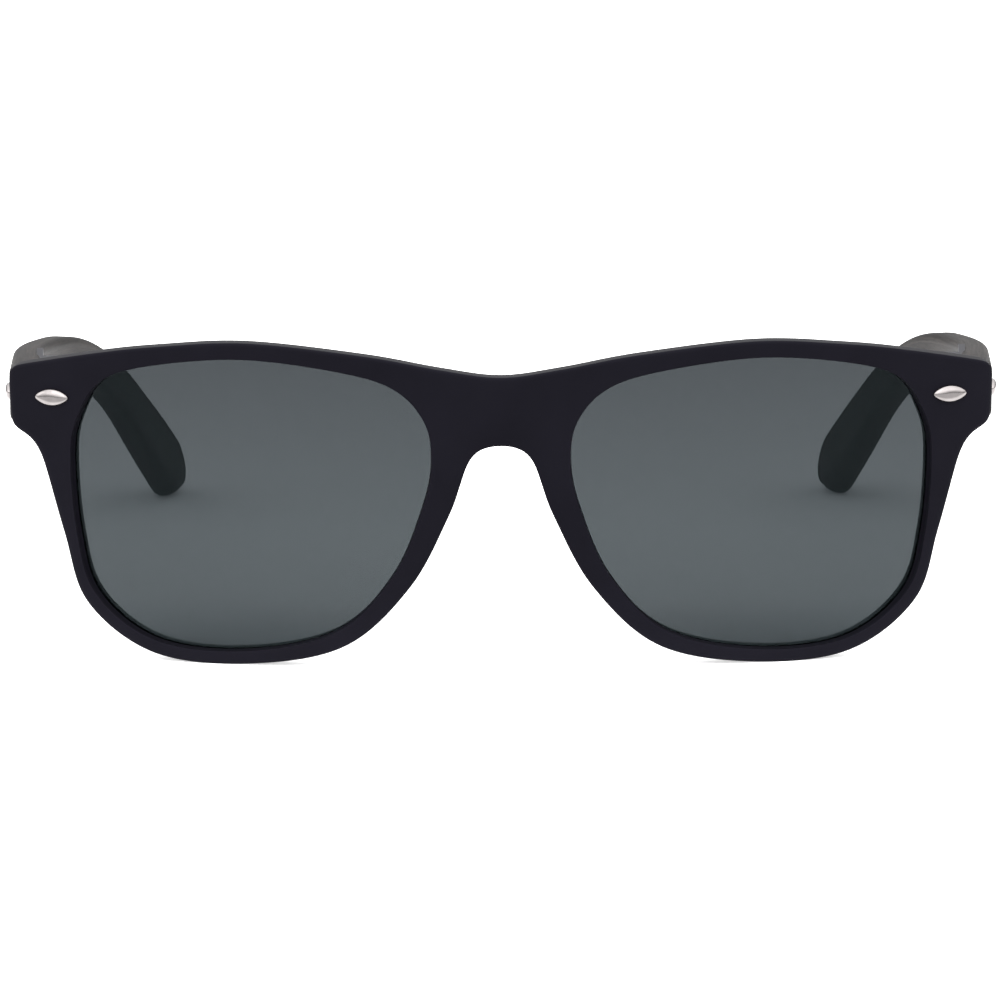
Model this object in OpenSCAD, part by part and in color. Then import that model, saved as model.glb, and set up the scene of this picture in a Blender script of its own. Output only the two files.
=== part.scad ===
// Sunglasses with a moulded front, tinted lenses and wooden temples on spring hinges.
// X runs across the face, Y runs back along the temples and Z is up.
// The part stands open on a flat surface, on its lower rims and the ends of its temples.

/* [Front] */
// Width of each lens opening, across its own face
lens_w = 53.6; // [48:0.1:58]
// Height of each lens opening
lens_h = 43.8; // [38:0.1:50]
// Gap between the two lens openings
bridge_gap = 21; // [17:0.1:25]
// Thickness of the front
front_t = 4.1; // [4:0.1:5.5]
// Radius of the curve that wraps the front around the face
wrap_r = 220; // [180:5:400]
// Height of the rim above a lens
rim_top = 2.2; // [1.5:0.1:4]
// Height of the rim below a lens
rim_bottom = 2.1; // [1.5:0.1:4]
// Width of the rim beside a lens, towards the temple
rim_side = 2.4; // [2:0.1:4]
// Width of the rim beside a lens, towards the nose
rim_nose = 3.3; // [2:0.1:4]
// Drop of the top edge from its highest point to the middle of the bridge
brow_drop = 4.7; // [2:0.1:7]
// Height of the bridge over the nose
bridge_h = 10.1; // [7:0.1:13]
// Reach of an end piece beyond its lens opening
end_w = 9.6; // [9.2:0.1:12]
// Height of an end piece at its outer edge
end_h = 9.6; // [9:0.1:12]
// Drop of the top edge from its highest point to the end piece
end_drop = 4.6; // [3:0.1:6]
// Radius of the end piece's corners
end_corner = 1.2; // [0.5:0.1:2]
// Reach of the curve under an end piece, in towards the lens
neck_in = 5.4; // [5:0.1:6.5]
// Depth of the curve under an end piece
neck_drop = 5.6; // [5:0.1:7.5]
// Depth of the round of the arch over the nose
arch_drop = 5.9; // [4:0.1:7]
// Flare of the rim behind the nose pads
nose_flare = 1; // [0.5:0.1:1.5]
// Thickness that an end piece adds behind the front
end_add = 0.3; // [0.1:0.1:1]
// Plastic of an end piece above its hinge leaf, behind the front
block_over = 0.7; // [0.4:0.1:1]
// Length of a moulded nose pad
pad_l = 14; // [10:0.5:18]
// Radius of a nose pad at its middle
pad_r = 1.9; // [1.4:0.1:2.4]
// Distance of a nose pad's side from the rim's edge
pad_inset = 0.3; // [0:0.1:1]
// Height of a nose pad's middle above the middle of the rim beside the nose
pad_lift = 1.5; // [0:0.1:3]
// Radius of a nose pad's blunt ends
pad_end_r = 0.5; // [0.3:0.1:1]

/* [Lenses] */
// Thickness of a lens
lens_t = 1.8; // [1.4:0.1:2.1]
// Depth of a lens behind the face of the front
lens_set = 1.3; // [1:0.1:1.6]
// Depth of the groove that holds a lens
groove_d = 0.6; // [0.3:0.1:1]
// Clearance of a lens in its groove
lens_gap = 0.05; // [0.02:0.01:0.1]

/* [Studs] */
// Length of a stud
stud_l = 5.4; // [4:0.1:6]
// Height of a stud
stud_h = 2.5; // [1.6:0.05:2.8]
// Rise of a stud's dome
stud_dome = 0.85; // [0.4:0.05:1]
// Radius of a stud's pins
stud_pin_r = 0.5; // [0.3:0.05:0.6]
// Spacing of the two pins of a front stud
stud_pin_gap = 2.5; // [1.8:0.1:3]
// Depth of the pin of a temple stud
temple_pin_l = 1.6; // [1:0.1:2]
// Distance of a front stud's middle from the hinge axis, towards the nose
stud_in = 0.95; // [0.8:0.05:1.1]
// Metal of the hinge leaf left behind a stud's pins
pin_floor = 0.2; // [0.1:0.05:0.3]
// Clearance under the heads of studs and screws
seat_gap = 0.02; // [0.01:0.01:0.05]

/* [Hinges] */
// Distance of a hinge axis from the end piece's outer edge
hinge_in = 5.6; // [5.3:0.1:6]
// Distance of a hinge axis behind the end piece
hinge_back = 2.1; // [1.9:0.1:3]
// Height of a hinge's middle above the middle of its end piece
hinge_lift = 0.3; // [0:0.1:0.8]
// Radius of the knuckles
knuckle_r = 1.5; // [1.3:0.05:1.7]
// Height of each knuckle
knuckle_h = 1.6; // [1.2:0.1:2]
// Radius of the hinge screw
screw_r = 0.65; // [0.4:0.05:0.8]
// Radius of the hinge screw's head
screw_head_r = 1.15; // [0.9:0.05:1.3]
// Thickness of the hinge screw's head
screw_head_t = 0.6; // [0.4:0.05:0.8]
// Width of the screw slots
slot_w = 0.35; // [0.2:0.05:0.5]
// Width of a hinge leaf
leaf_w = 4.6; // [4.4:0.1:5]
// Height of a hinge leaf
leaf_h = 5.6; // [5:0.1:7]
// Thickness of a hinge leaf
leaf_t = 1; // [0.8:0.1:1.4]
// Reach of a hinge leaf beyond the hinge axis, away from the nose
leaf_over = 1.4; // [1.2:0.1:1.6]
// Width of the webs between the leaf and its knuckles
web_w = 2; // [1.4:0.1:2.4]
// Length of a spring housing
housing_l = 15; // [13:0.5:18]
// Height of a spring housing
housing_h = 3.6; // [3:0.1:5]
// Reach of a spring housing from the hinge axis, towards the nose
housing_in = 1.7; // [1.6:0.1:2.2]
// Wall at the front of a spring housing
housing_wall = 1.4; // [1:0.1:2]
// Gap between the knuckles and a spring housing
housing_gap = 0.4; // [0.2:0.05:0.6]
// Depth of the recess that takes a housing
recess_d = 1; // [0.6:0.1:1.3]
// Length of the tab behind a housing
tab_l = 7; // [6:0.1:9]
// Thickness of the tab behind a housing
tab_t = 1; // [0.8:0.1:1.2]
// Radius of the tab's screws
tab_screw_r = 0.55; // [0.4:0.05:0.7]
// Length of the tab's screws under their heads
tab_screw_l = 2.6; // [2:0.1:3]
// Radius of the heads of the tab's screws
tab_head_r = 1; // [0.8:0.05:1.2]
// Thickness of the heads of the tab's screws
tab_head_t = 0.5; // [0.4:0.05:0.7]
// Width of the neck between the middle knuckle and the pull rod
neck_w = 1.6; // [1.2:0.1:2]
// Radius of the pull rod
rod_r = 0.5; // [0.35:0.05:0.55]
// Radius of the spring's wire
wire_r = 0.14; // [0.1:0.01:0.16]
// Turns of the spring
spring_turns = 8; // [6:1:10]
// Length of the spring
spring_l = 6; // [5.5:0.1:8]
// Gap between the pull rod and the spring
coil_gap = 0.18; // [0.1:0.01:0.2]
// Gap between the spring and its bore
bore_gap = 0.14; // [0.1:0.01:0.2]
// Length of the collar on the pull rod
collar_t = 0.8; // [0.6:0.1:1.2]
// End of the pull rod behind its collar
rod_over = 0.4; // [0.2:0.1:0.8]
// Clearance of the turning and sliding fits
run_gap = 0.05; // [0.02:0.01:0.1]

/* [Temples] */
// Thickness of a temple
temple_t = 4.8; // [4:0.1:5.4]
// Height of a temple at its hinge
temple_h = 8.9; // [8:0.1:11]
// Height of a temple at its waist
waist_h = 7; // [6:0.1:9]
// Height of a temple at its tip
tip_h = 11; // [8:0.1:13]
// Length of a temple along its middle
temple_l = 127; // [115:1:145]
// Distance from the hinge end to the waist
waist_at = 80; // [60:1:95]
// Distance from the hinge end to the start of the bend behind the ear
bend_at = 58; // [45:1:70]
// Radius of the bend behind the ear
bend_r = 73.3; // [50:0.1:95]
// Angle of the bend behind the ear
bend_angle = 32.3; // [20:0.1:45]
// Outward splay of a temple from its hinge
splay = 4.6; // [0:0.1:5]
// Distance from the hinge end to the start of the inward curve
curve_at = 31; // [28:1:40]
// Radius of the inward curve
curve_r = 105; // [90:1:250]
// Angle of the inward curve
curve_angle = 17.4; // [8:0.1:25]
// Step of a temple's outer face beyond the end piece
temple_proud = 0.4; // [0.2:0.1:0.8]
// Gap between a temple's end and the end piece
temple_gap = 0.3; // [0.2:0.05:0.6]
// Depth of a temple's middle below the hinge's middle
temple_sink = 0.8; // [0:0.1:1]
// Radius of a temple's edges
temple_edge = 1.4; // [0.5:0.1:1.6]
// Distance of a temple stud behind the temple's end
temple_stud_at = 6; // [4:0.5:14]

/* [Hidden] */
left = -1;
right = 1;
$fn = 64;
wrap_fn = 720;
curve_steps = 6;
cut = 1;
black_plastic = "#1f1d23";
dark_wood = "#4b4039";
polished = "#d6d3cf";
steel = "#55565a";
smoke = [0.3, 0.34, 0.35, 0.75];
// Depth of a stud's pins in its head
pin_in_head = stud_dome / 3;

// Lens form in halves of its width and height, from the side nearest the temple and round over the top
lens_form = [
    [1.00, 0.28], [0.96, 0.55], [0.82, 0.82], [0.54, 0.94],
    [0.02, 1.00], [-0.54, 0.92], [-0.82, 0.80], [-0.97, 0.57],
    [-1.00, 0.30], [-0.95, 0.00], [-0.79, -0.46], [-0.48, -0.85],
    [0.02, -1.00], [0.53, -0.955], [0.865, -0.66], [0.97, -0.24]
];

// Form of the curve under an end piece, in shares of its reach and its depth
neck_form = [[0.1, -0.1], [0.37, 0.06], [0.63, 0.24], [0.83, 0.54], [1, 1]];
// Form of the arch over the nose, in shares of the gap between the lenses and of its depth
arch_form = [[0.285, 1], [0.23, 0.44], [0.15, 0.11], [0, 0], [-0.15, 0.11]];

// Heights and places on the front
top_z = rim_bottom + lens_h + rim_top;
brow_z = top_z - brow_drop;
arch_z = brow_z - bridge_h;
end_top = top_z - end_drop;
end_low = end_top - end_h;
lens_z = rim_bottom + lens_h / 2;
lens_angle = asin(bridge_gap / 2 / wrap_r) + asin(lens_w / 2 / wrap_r);
lens_x = wrap_r * sin(lens_angle);
end_x = wrapped_x(lens_w / 2) + end_w;
// Lowest point of the rims, which the part stands on
floor_z = min([for (p = half_front()) p[1]]);
back_r = wrap_r - front_t;
lens_front = wrap_r - lens_set;
lens_back = lens_front - lens_t;
end_back = wrap_y(back_r, end_x) + end_add;

// Hinge places
hinge_x = end_x - hinge_in;
hinge_y = end_back + hinge_back;
hinge_z = (end_top + end_low) / 2 + hinge_lift;
leaf_right = hinge_x + leaf_over;
leaf_left = leaf_right - leaf_w;
block_x = leaf_left - 4 * run_gap;
block_top = hinge_z + leaf_h / 2 + block_over;
stud_x = hinge_x - stud_in;
stud_angle = asin(stud_x / wrap_r);
knuckle_pitch = knuckle_h + run_gap;
housing_front = knuckle_r + housing_gap;
housing_end = housing_front + housing_l;
spring_r = rod_r + wire_r + coil_gap;
bore_r = spring_r + wire_r + bore_gap;
spring_front = housing_front + housing_wall + run_gap;
collar_front = spring_front + spring_l + run_gap;
rod_end = collar_front + collar_t + rod_over;

// Temple places
temple_x = end_x + temple_proud;
temple_y = end_back + temple_gap;
temple_z = hinge_z - temple_sink;
tip_r = tip_h / 2;
tip_at = temple_l - tip_r;
bend_end = bend_at + bend_r * bend_angle * PI / 180;
curve_end = curve_at + curve_r * curve_angle * PI / 180;
// Outer and inner faces of a temple, measured from the hinge axis across the splayed temple
face_out = (temple_x - hinge_x) * cos(splay) - (temple_y - hinge_y) * sin(splay);
face_in = face_out - temple_t;
recess_x = face_in + recess_d;
seat_x = recess_x - run_gap;
// Slope that brings the round end of the temple down onto the surface that the rims stand on
tip_reach = norm(bend_path(tip_at));
slope = atan2(bend_path(tip_at)[1], bend_path(tip_at)[0]) + asin((temple_z - floor_z - tip_r) / tip_reach);

// Rings along a temple: even stations, then the round end
body_rings = 34;
tip_rings = 6;
tip_turn = 88;
temple_stations = concat(
    [for (i = [0 : body_rings]) tip_at * i / body_rings],
    [for (i = [1 : tip_rings]) tip_at + tip_r * sin(tip_turn * i / tip_rings)]
);
temple_rings = [for (s = temple_stations) temple_ring(s)];
part_depth = max([for (ring = temple_rings) for (p = ring) p[1]]);

// Depth of a wrapped face of the given radius at a distance from the middle
function wrap_y(r, x) = wrap_r - sqrt(r * r - x * x);
// Distance from the middle, on the wrapped face, of a point on a lens's own face
function wrapped_x(x) = wrap_r * sin(lens_angle + asin(x / wrap_r));
// One point of a smooth curve through b and c, with a and d as its neighbours
function curve_point(a, b, c, d, t) =
    (2 * b + (c - a) * t + (2 * a - 5 * b + 4 * c - d) * t * t + (3 * b - a - 3 * c + d) * t * t * t) / 2;
function closed_curve(p) = [
    for (i = [0 : len(p) - 1])
        for (k = [0 : curve_steps - 1])
            let (n = len(p))
            curve_point(p[(i + n - 1) % n], p[i], p[(i + 1) % n], p[(i + 2) % n], k / curve_steps)
];
// Smooth curve from the second point to the last but one: the end points only lead it
function open_curve(p) = [
    for (i = [1 : len(p) - 3])
        for (k = [0 : curve_steps - (i < len(p) - 3 ? 1 : 0)])
            curve_point(p[i - 1], p[i], p[i + 1], p[i + 2], k / curve_steps)
];
function arc(x, z, r, from, to) = [
    for (k = [0 : curve_steps])
        let (turn = from + (to - from) * k / curve_steps)
        [x + r * cos(turn), z + r * sin(turn)]
];
// Point of the lens form and its outward direction, on the lens's own face
function lens_point(i) = let (p = lens_form[i % len(lens_form)]) [p[0] * lens_w / 2, p[1] * lens_h / 2];
function lens_out(i) =
    let (d = lens_point(i + 1) - lens_point(i + len(lens_form) - 1)) [d[1], -d[0]] / norm(d);
function lens_outline(grow) =
    closed_curve([for (i = [0 : len(lens_form) - 1]) lens_point(i) + grow * lens_out(i)]);
// Point on the front's outer edge, beside a point of the lens form
function rim_point(i, width) =
    let (p = lens_point(i) + width * lens_out(i)) [wrapped_x(p[0]), lens_z + p[1]];

// Outer edge of the front's right half, from the top of the bridge to the arch over the nose
function top_edge() = open_curve([
    [-0.42 * bridge_gap, brow_z + 0.24 * brow_drop],
    [0, brow_z],
    [0.42 * bridge_gap, brow_z + 0.24 * brow_drop],
    [bridge_gap / 2 + 0.18 * lens_w, top_z - 0.34 * brow_drop],
    [lens_x, top_z],
    [lens_x + 0.25 * lens_w, top_z - 0.2 * end_drop],
    [lens_x + 0.43 * lens_w, top_z - 0.5 * end_drop],
    [end_x - end_corner + end_corner * cos(80), end_top - end_corner + end_corner * sin(80)],
    [end_x + 2 * end_corner, end_top - end_corner]
]);
function end_edge() = concat(
    arc(end_x - end_corner, end_top - end_corner, end_corner, 74, -3),
    arc(end_x - 1.25 * end_corner, end_low + end_corner, end_corner, -3, -66)
);
function lower_edge() = open_curve(concat(
    [for (p = neck_form) [end_x - p[0] * neck_in, end_low - p[1] * neck_drop]],
    [
        rim_point(15, rim_side),
        rim_point(14, (rim_side + rim_bottom) / 2),
        rim_point(13, rim_bottom),
        rim_point(12, rim_bottom),
        rim_point(11, (rim_nose + rim_bottom) / 2),
        rim_point(10, rim_nose),
        rim_point(9, rim_nose + nose_flare)
    ],
    [for (p = arch_form) [p[0] * bridge_gap, arch_z - p[1] * arch_drop]]
));
function half_front() = concat(top_edge(), end_edge(), lower_edge());

// Middle line of a temple in its own side view, level at the hinge
function bend_path(s) =
    let (turn = min(max(s - bend_at, 0) / bend_r * 180 / PI, bend_angle), rest = max(s - bend_end, 0))
    [
        min(s, bend_at) + bend_r * sin(turn) + rest * cos(turn),
        -bend_r * (1 - cos(turn)) - rest * sin(turn)
    ];
function bend_turn(s) = slope + min(max(s - bend_at, 0) / bend_r * 180 / PI, bend_angle);
// Heading of a temple seen from above, and the place of its outer face across the part
function temple_yaw(s) = splay - min(max(s - curve_at, 0) / curve_r * 180 / PI, curve_angle);
function temple_out(s) =
    temple_x + min(s, curve_at) * tan(splay) + curve_r * (cos(temple_yaw(s)) - cos(splay))
    + max(s - curve_end, 0) * sin(temple_yaw(s));
function temple_middle(s) =
    let (p = bend_path(s))
    [
        temple_out(s),
        temple_y + p[0] * cos(slope) + p[1] * sin(slope),
        temple_z + p[1] * cos(slope) - p[0] * sin(slope)
    ];
// Height of a temple: it narrows to the waist, widens to the tip and ends round
function soft_step(t) = t * t * (3 - 2 * t);
function temple_height(s) =
    s > tip_at ? 2 * sqrt(tip_r * tip_r - (s - tip_at) * (s - tip_at))
    : s > waist_at ? waist_h + (tip_h - waist_h) * soft_step((s - waist_at) / (tip_at - waist_at))
    : temple_h + (waist_h - temple_h) * soft_step(s / waist_at);
// Rounded section of a temple: inward from the outer face, and up
function section(t, h) =
    let (r = min(temple_edge, 0.45 * h, 0.45 * t))
    [
        for (c = [[r, h / 2 - r, 180], [t - r, h / 2 - r, 90], [t - r, r - h / 2, 0], [r, r - h / 2, -90]])
            for (k = [0 : 3])
                [c[0] + r * cos(c[2] - 30 * k), c[1] + r * sin(c[2] - 30 * k)]
    ];
function temple_ring(s) =
    let (
        turn = s == 0 ? 0 : bend_turn(s),
        yaw = s == 0 ? 0 : temple_yaw(s),
        inward = [-cos(yaw), sin(yaw), 0],
        up = [0, sin(turn), cos(turn)]
    )
    [for (q = section(temple_t, temple_height(s))) temple_middle(s) + q[0] * inward + q[1] * up];

// Middle line of the spring's wire round the pull rod, with eight points to a turn
wire_points = 8 * spring_turns;
function wire_angle(k) = 45 * k;
function wire_middle(k) = [
    spring_r * cos(wire_angle(k)),
    spring_front + wire_r + (spring_l - 2 * wire_r) * k / wire_points,
    spring_r * sin(wire_angle(k))
];
function wire_ring(k) = [
    for (q = [0 : 60 : 300])
        wire_middle(k) + wire_r * (cos(q) * [cos(wire_angle(k)), 0, sin(wire_angle(k))] + sin(q) * [0, 1, 0])
];
spring_gap = min([
    for (i = [0 : wire_points])
        for (j = [i + 5 : 1 : wire_points])
            norm(wire_middle(i) - wire_middle(j))
]) - 2 * wire_r;
echo(spring_least_gap_mm = spring_gap);

// Solid through a row of rings of points
module skin(rings) {
    m = len(rings[0]);
    n = len(rings);
    points = [for (ring = rings) for (p = ring) p];
    sides = [
        for (i = [0 : n - 2])
            for (k = [0 : m - 1])
                for (half = [0, 1])
                    half == 0
                        ? [i * m + k, i * m + (k + 1) % m, (i + 1) * m + (k + 1) % m]
                        : [i * m + k, (i + 1) * m + (k + 1) % m, (i + 1) * m + k]
    ];
    ends = [[for (k = [m - 1 : -1 : 0]) k], [for (k = [0 : m - 1]) (n - 1) * m + k]];
    polyhedron(points = points, faces = concat(sides, ends), convexity = 6);
}

// Whole part, moved so that its box is centred front to back and stands on the ground
module placed() {
    translate([0, -part_depth / 2, -floor_z]) children();
}

// Right-hand piece on its own side, or its mirror image on the left
module on_side(side) {
    placed() {
        if (side == right) children();
        else mirror([1, 0, 0]) children();
    }
}

// Place of the hinge axis, turned to run back along the splayed temple
module at_hinge() {
    translate([hinge_x, hinge_y, hinge_z]) rotate([0, 0, -splay]) children();
}

// Block with corners at two points
module block(low, high) {
    translate(low) cube(high - low);
}

// Upright cylinder round the wrap's axis
module wrap_cylinder(r) {
    translate([0, wrap_r, -cut]) cylinder(r = r, h = top_z + 2 * cut, $fn = wrap_fn);
}

// Lens form cut along its own axis, from front to back
module lens_prism(grow) {
    translate([0, wrap_r, lens_z])
        rotate([0, 0, lens_angle])
            translate([0, -wrap_r / 2, 0])
                rotate([90, 0, 0])
                    linear_extrude(height = wrap_r / 2 + 3 * front_t) polygon(lens_outline(grow));
}

// Slice of the lens form between two wrapped faces
module lens_slice(grow, outer_r, inner_r) {
    intersection() {
        lens_prism(grow);
        difference() {
            wrap_cylinder(outer_r);
            wrap_cylinder(inner_r);
        }
    }
}

// Outline of the whole front as a slab
module front_slab() {
    half = half_front();
    outline = concat(half, [for (i = [len(half) - 2 : -1 : 1]) [-half[i][0], half[i][1]]]);
    translate([0, end_back, 0])
        rotate([90, 0, 0]) linear_extrude(height = end_back + cut) polygon(outline);
}

// Spindle-shaped nose pad on the back of the rim beside the nose
module nose_pad() {
    upper = rim_point(9, rim_nose + nose_flare);
    lower = rim_point(10, rim_nose);
    lean = atan2(lower[0] - upper[0], upper[1] - lower[1]);
    middle = (upper + lower) / 2 + [pad_r + pad_inset, pad_lift];
    swell = pad_r - pad_end_r;
    swell_r = (pad_l * pad_l / 4 + swell * swell) / (2 * swell);
    translate([middle[0], wrap_y(back_r, middle[0]) + pad_r / 2, middle[1]])
        rotate([0, -lean, 0])
            rotate([0, 0, 90]) rotate_extrude()
                intersection() {
                    translate([pad_r - swell_r, 0]) circle(r = swell_r, $fn = 256);
                    translate([0, -pad_l / 2]) square([pad_r, pad_l]);
                }
}

// Pocket and rivet holes behind one end piece
module hinge_cuts() {
    block(
        [leaf_left - run_gap, end_back - leaf_t - run_gap, hinge_z - leaf_h / 2 - run_gap],
        [leaf_right + run_gap, end_back + cut, hinge_z + leaf_h / 2 + run_gap]
    );
    stud_pins(stud_pin_r + run_gap, cut);
}

// Right-hand shape and its mirror image
module both_sides() {
    children();
    mirror([1, 0, 0]) children();
}

module front_frame() {
    color(black_plastic) placed() difference() {
        union() {
            difference() {
                intersection() {
                    front_slab();
                    wrap_cylinder(wrap_r);
                }
                difference() {
                    wrap_cylinder(back_r);
                    both_sides() block([block_x, 0, end_low - 2 * cut], [end_x + cut, end_back, block_top]);
                }
            }
            both_sides() nose_pad();
        }
        both_sides() {
            lens_prism(0);
            lens_slice(groove_d + lens_gap, lens_front + lens_gap, lens_back - lens_gap);
            hinge_cuts();
        }
    }
}

module lens(side) {
    color(smoke) on_side(side)
        lens_slice(groove_d, lens_front, lens_back);
}

// Domed pointed oval, lying on the plane that it is set on, with its dome towards -Y
module stud_head() {
    side_r = (stud_l * stud_l + stud_h * stud_h) / (4 * stud_h);
    dome_r = (stud_l * stud_l / 4 + stud_dome * stud_dome) / (2 * stud_dome);
    intersection() {
        stud_side(side_r, -1);
        stud_side(side_r, 1);
        translate([0, dome_r - stud_dome, 0]) sphere(r = dome_r, $fn = 128);
    }
}

module stud_side(r, way) {
    translate([0, 0, way * (r - stud_h / 2)])
        rotate([90, 0, 0]) cylinder(r = r, h = 2 * stud_dome, $fn = 128);
}

// Pins of a front stud, from its head back into the hinge leaf
module stud_pins(r, over) {
    for (way = [-1, 1])
        let (x = stud_x + way * stud_pin_gap / 2, start = wrap_y(wrap_r, x) - over)
        translate([x, start, hinge_z])
            rotate([-90, 0, 0]) cylinder(r = r, h = end_back - pin_floor - start);
}

module front_stud(side) {
    color(polished) on_side(side) {
        translate([0, wrap_r, hinge_z])
            rotate([0, 0, stud_angle]) translate([0, -wrap_r - seat_gap, 0]) stud_head();
        stud_pins(stud_pin_r, pin_in_head);
    }
}

// Leaf let into the end piece, with an upper and a lower knuckle
module front_hinge(side) {
    color(steel) on_side(side) difference() {
        union() {
            block(
                [leaf_left, end_back - leaf_t, hinge_z - leaf_h / 2],
                [leaf_right, end_back, hinge_z + leaf_h / 2]
            );
            for (way = [-1, 1])
                translate([hinge_x, hinge_y, hinge_z + way * knuckle_pitch - knuckle_h / 2]) {
                    cylinder(r = knuckle_r, h = knuckle_h);
                    block([-web_w / 2, -hinge_back - leaf_t / 2, 0], [web_w / 2, 0, knuckle_h]);
                }
        }
        translate([hinge_x, hinge_y, hinge_z - leaf_h])
            cylinder(r = screw_r + run_gap, h = 2 * leaf_h);
        stud_pins(stud_pin_r + run_gap, 0);
    }
}

// Slotted screw that the hinge turns on
module hinge_screw(side) {
    top = 1.5 * knuckle_h + run_gap;
    slot_low = [-2 * screw_head_r, -slot_w / 2, top + screw_head_t / 2];
    slot_high = [2 * screw_head_r, slot_w / 2, top + 2 * screw_head_t];
    color(steel) on_side(side) translate([hinge_x, hinge_y, hinge_z]) difference() {
        union() {
            translate([0, 0, -top]) cylinder(r = screw_r, h = 2 * top + screw_head_t / 2);
            translate([0, 0, top + seat_gap]) cylinder(r = screw_head_r, h = screw_head_t);
        }
        block(slot_low, slot_high);
    }
}

// Middle knuckle and its pull rod
module hinge_slider(side) {
    color(steel) on_side(side) at_hinge() difference() {
        union() {
            translate([0, 0, -knuckle_h / 2]) cylinder(r = knuckle_r, h = knuckle_h);
            block([-neck_w / 2, 0, -knuckle_h / 2], [neck_w / 2, housing_front - run_gap, knuckle_h / 2]);
            rotate([-90, 0, 0]) cylinder(r = rod_r, h = rod_end);
        }
        translate([0, 0, -knuckle_h]) cylinder(r = screw_r + run_gap, h = 2 * knuckle_h);
    }
}

// Coil spring on the pull rod
module hinge_spring(side) {
    color(steel) on_side(side) at_hinge()
        skin([for (k = [0 : wire_points]) wire_ring(k)]);
}

// Collar riveted on the rod's end, which the spring pushes back
module slider_collar(side) {
    color(steel) on_side(side) at_hinge() translate([0, collar_front, 0]) rotate([-90, 0, 0])
        difference() {
            cylinder(r = bore_r - bore_gap, h = collar_t);
            translate([0, 0, -cut]) cylinder(r = rod_r + seat_gap, h = collar_t + 2 * cut);
        }
}

// Places of the two tab screws, from the hinge axis
function tab_screw_places() = [for (share = [1, 3]) housing_end + share * tab_l / 4];

// Housing let into the temple's inner face, drilled for the spring, with a screwed tab behind it
module hinge_housing(side) {
    color(steel) on_side(side) at_hinge() difference() {
        union() {
            block([-housing_in, housing_front, -housing_h / 2], [seat_x, housing_end, housing_h / 2]);
            block(
                [seat_x - tab_t, housing_end - cut, -housing_h / 2],
                [seat_x, housing_end + tab_l, housing_h / 2]
            );
        }
        rotate([-90, 0, 0]) cylinder(r = rod_r + run_gap, h = housing_end);
        translate([0, housing_front + housing_wall, 0])
            rotate([-90, 0, 0]) cylinder(r = bore_r, h = housing_l - housing_wall + run_gap);
        for (y = tab_screw_places())
            translate([seat_x - tab_t - cut, y, 0]) rotate([0, 90, 0]) {
                cylinder(r = tab_screw_r + run_gap, h = tab_t + 2 * cut);
                cylinder(r = tab_head_r + run_gap, h = tab_head_t + seat_gap + cut);
            }
    }
}

// Two screws that hold the housing's tab to the wood, with their heads let into the tab
module housing_screws(side) {
    color(steel) on_side(side) at_hinge()
        for (y = tab_screw_places())
            translate([seat_x - tab_t, y, 0]) rotate([0, 90, 0]) {
                cylinder(r = tab_head_r, h = tab_head_t);
                cylinder(r = tab_screw_r, h = tab_head_t + tab_screw_l);
            }
}

// Outer face of a temple at the stud, with the stud's dome facing out
module at_temple_stud() {
    translate([hinge_x, hinge_y, temple_z - temple_stud_at * sin(slope)])
        rotate([0, 0, -splay])
            translate([face_out + seat_gap, temple_stud_at + temple_y - hinge_y, 0])
                rotate([0, 0, 90]) rotate([0, slope, 0]) children();
}

// Recess for the housing, screw holes and room for the knuckles, cut in a temple
module temple_cuts() {
    block(
        [face_in - cut, housing_front - cut, -housing_h / 2 - run_gap],
        [recess_x, housing_end + tab_l + run_gap, housing_h / 2 + run_gap]
    );
    // The room is open to the front, because the spring lets the temple slide back
    translate([0, 0, -temple_h]) cylinder(r = knuckle_r + temple_gap, h = 2 * temple_h);
    block([0, -hinge_back - cut, -temple_h], [knuckle_r + temple_gap, 0, temple_h]);
    for (y = tab_screw_places())
        translate([face_in, y, 0])
            rotate([0, 90, 0]) cylinder(r = tab_screw_r + run_gap, h = recess_d + tab_screw_l);
}

module temple(side) {
    color(dark_wood) on_side(side) difference() {
        skin(temple_rings);
        at_hinge() temple_cuts();
        at_temple_stud() rotate([-90, 0, 0]) translate([0, 0, -cut])
            cylinder(r = stud_pin_r + run_gap, h = temple_pin_l + cut + run_gap);
    }
}

module temple_stud(side) {
    color(polished) on_side(side) at_temple_stud() {
        stud_head();
        rotate([-90, 0, 0]) translate([0, 0, -pin_in_head])
            cylinder(r = stud_pin_r, h = temple_pin_l + pin_in_head);
    }
}

front_frame();
lens(left);  // lens_left
lens(right);  // lens_right
front_stud(left);  // front_stud_left
front_stud(right);  // front_stud_right
front_hinge(left);  // front_hinge_left
front_hinge(right);  // front_hinge_right
hinge_screw(left);  // hinge_screw_left
hinge_screw(right);  // hinge_screw_right
hinge_slider(left);  // hinge_slider_left
hinge_slider(right);  // hinge_slider_right
hinge_spring(left);  // hinge_spring_left
hinge_spring(right);  // hinge_spring_right
slider_collar(left);  // slider_collar_left
slider_collar(right);  // slider_collar_right
hinge_housing(left);  // hinge_housing_left
hinge_housing(right);  // hinge_housing_right
housing_screws(left);  // housing_screws_left
housing_screws(right);  // housing_screws_right
temple(left);  // temple_left
temple(right);  // temple_right
temple_stud(left);  // temple_stud_left
temple_stud(right);  // temple_stud_right
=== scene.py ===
"""Looks of a pair of sunglasses: a moulded black front, smoke lenses, polished studs and wooden temples.

Sizes of pieces are in millimetres, as the solids have them. Finishes and the studio are in metres. Each piece
becomes an object in metres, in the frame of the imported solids, and rides on one of their bodies.
"""

import logging
import math
from collections.abc import Callable
from dataclasses import dataclass, field
from enum import Enum
from functools import cached_property

import bmesh
import bpy
import numpy as np
from mathutils import Matrix, Vector
from mathutils.geometry import delaunay_2d_cdt
from mathutils.kdtree import KDTree


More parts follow.
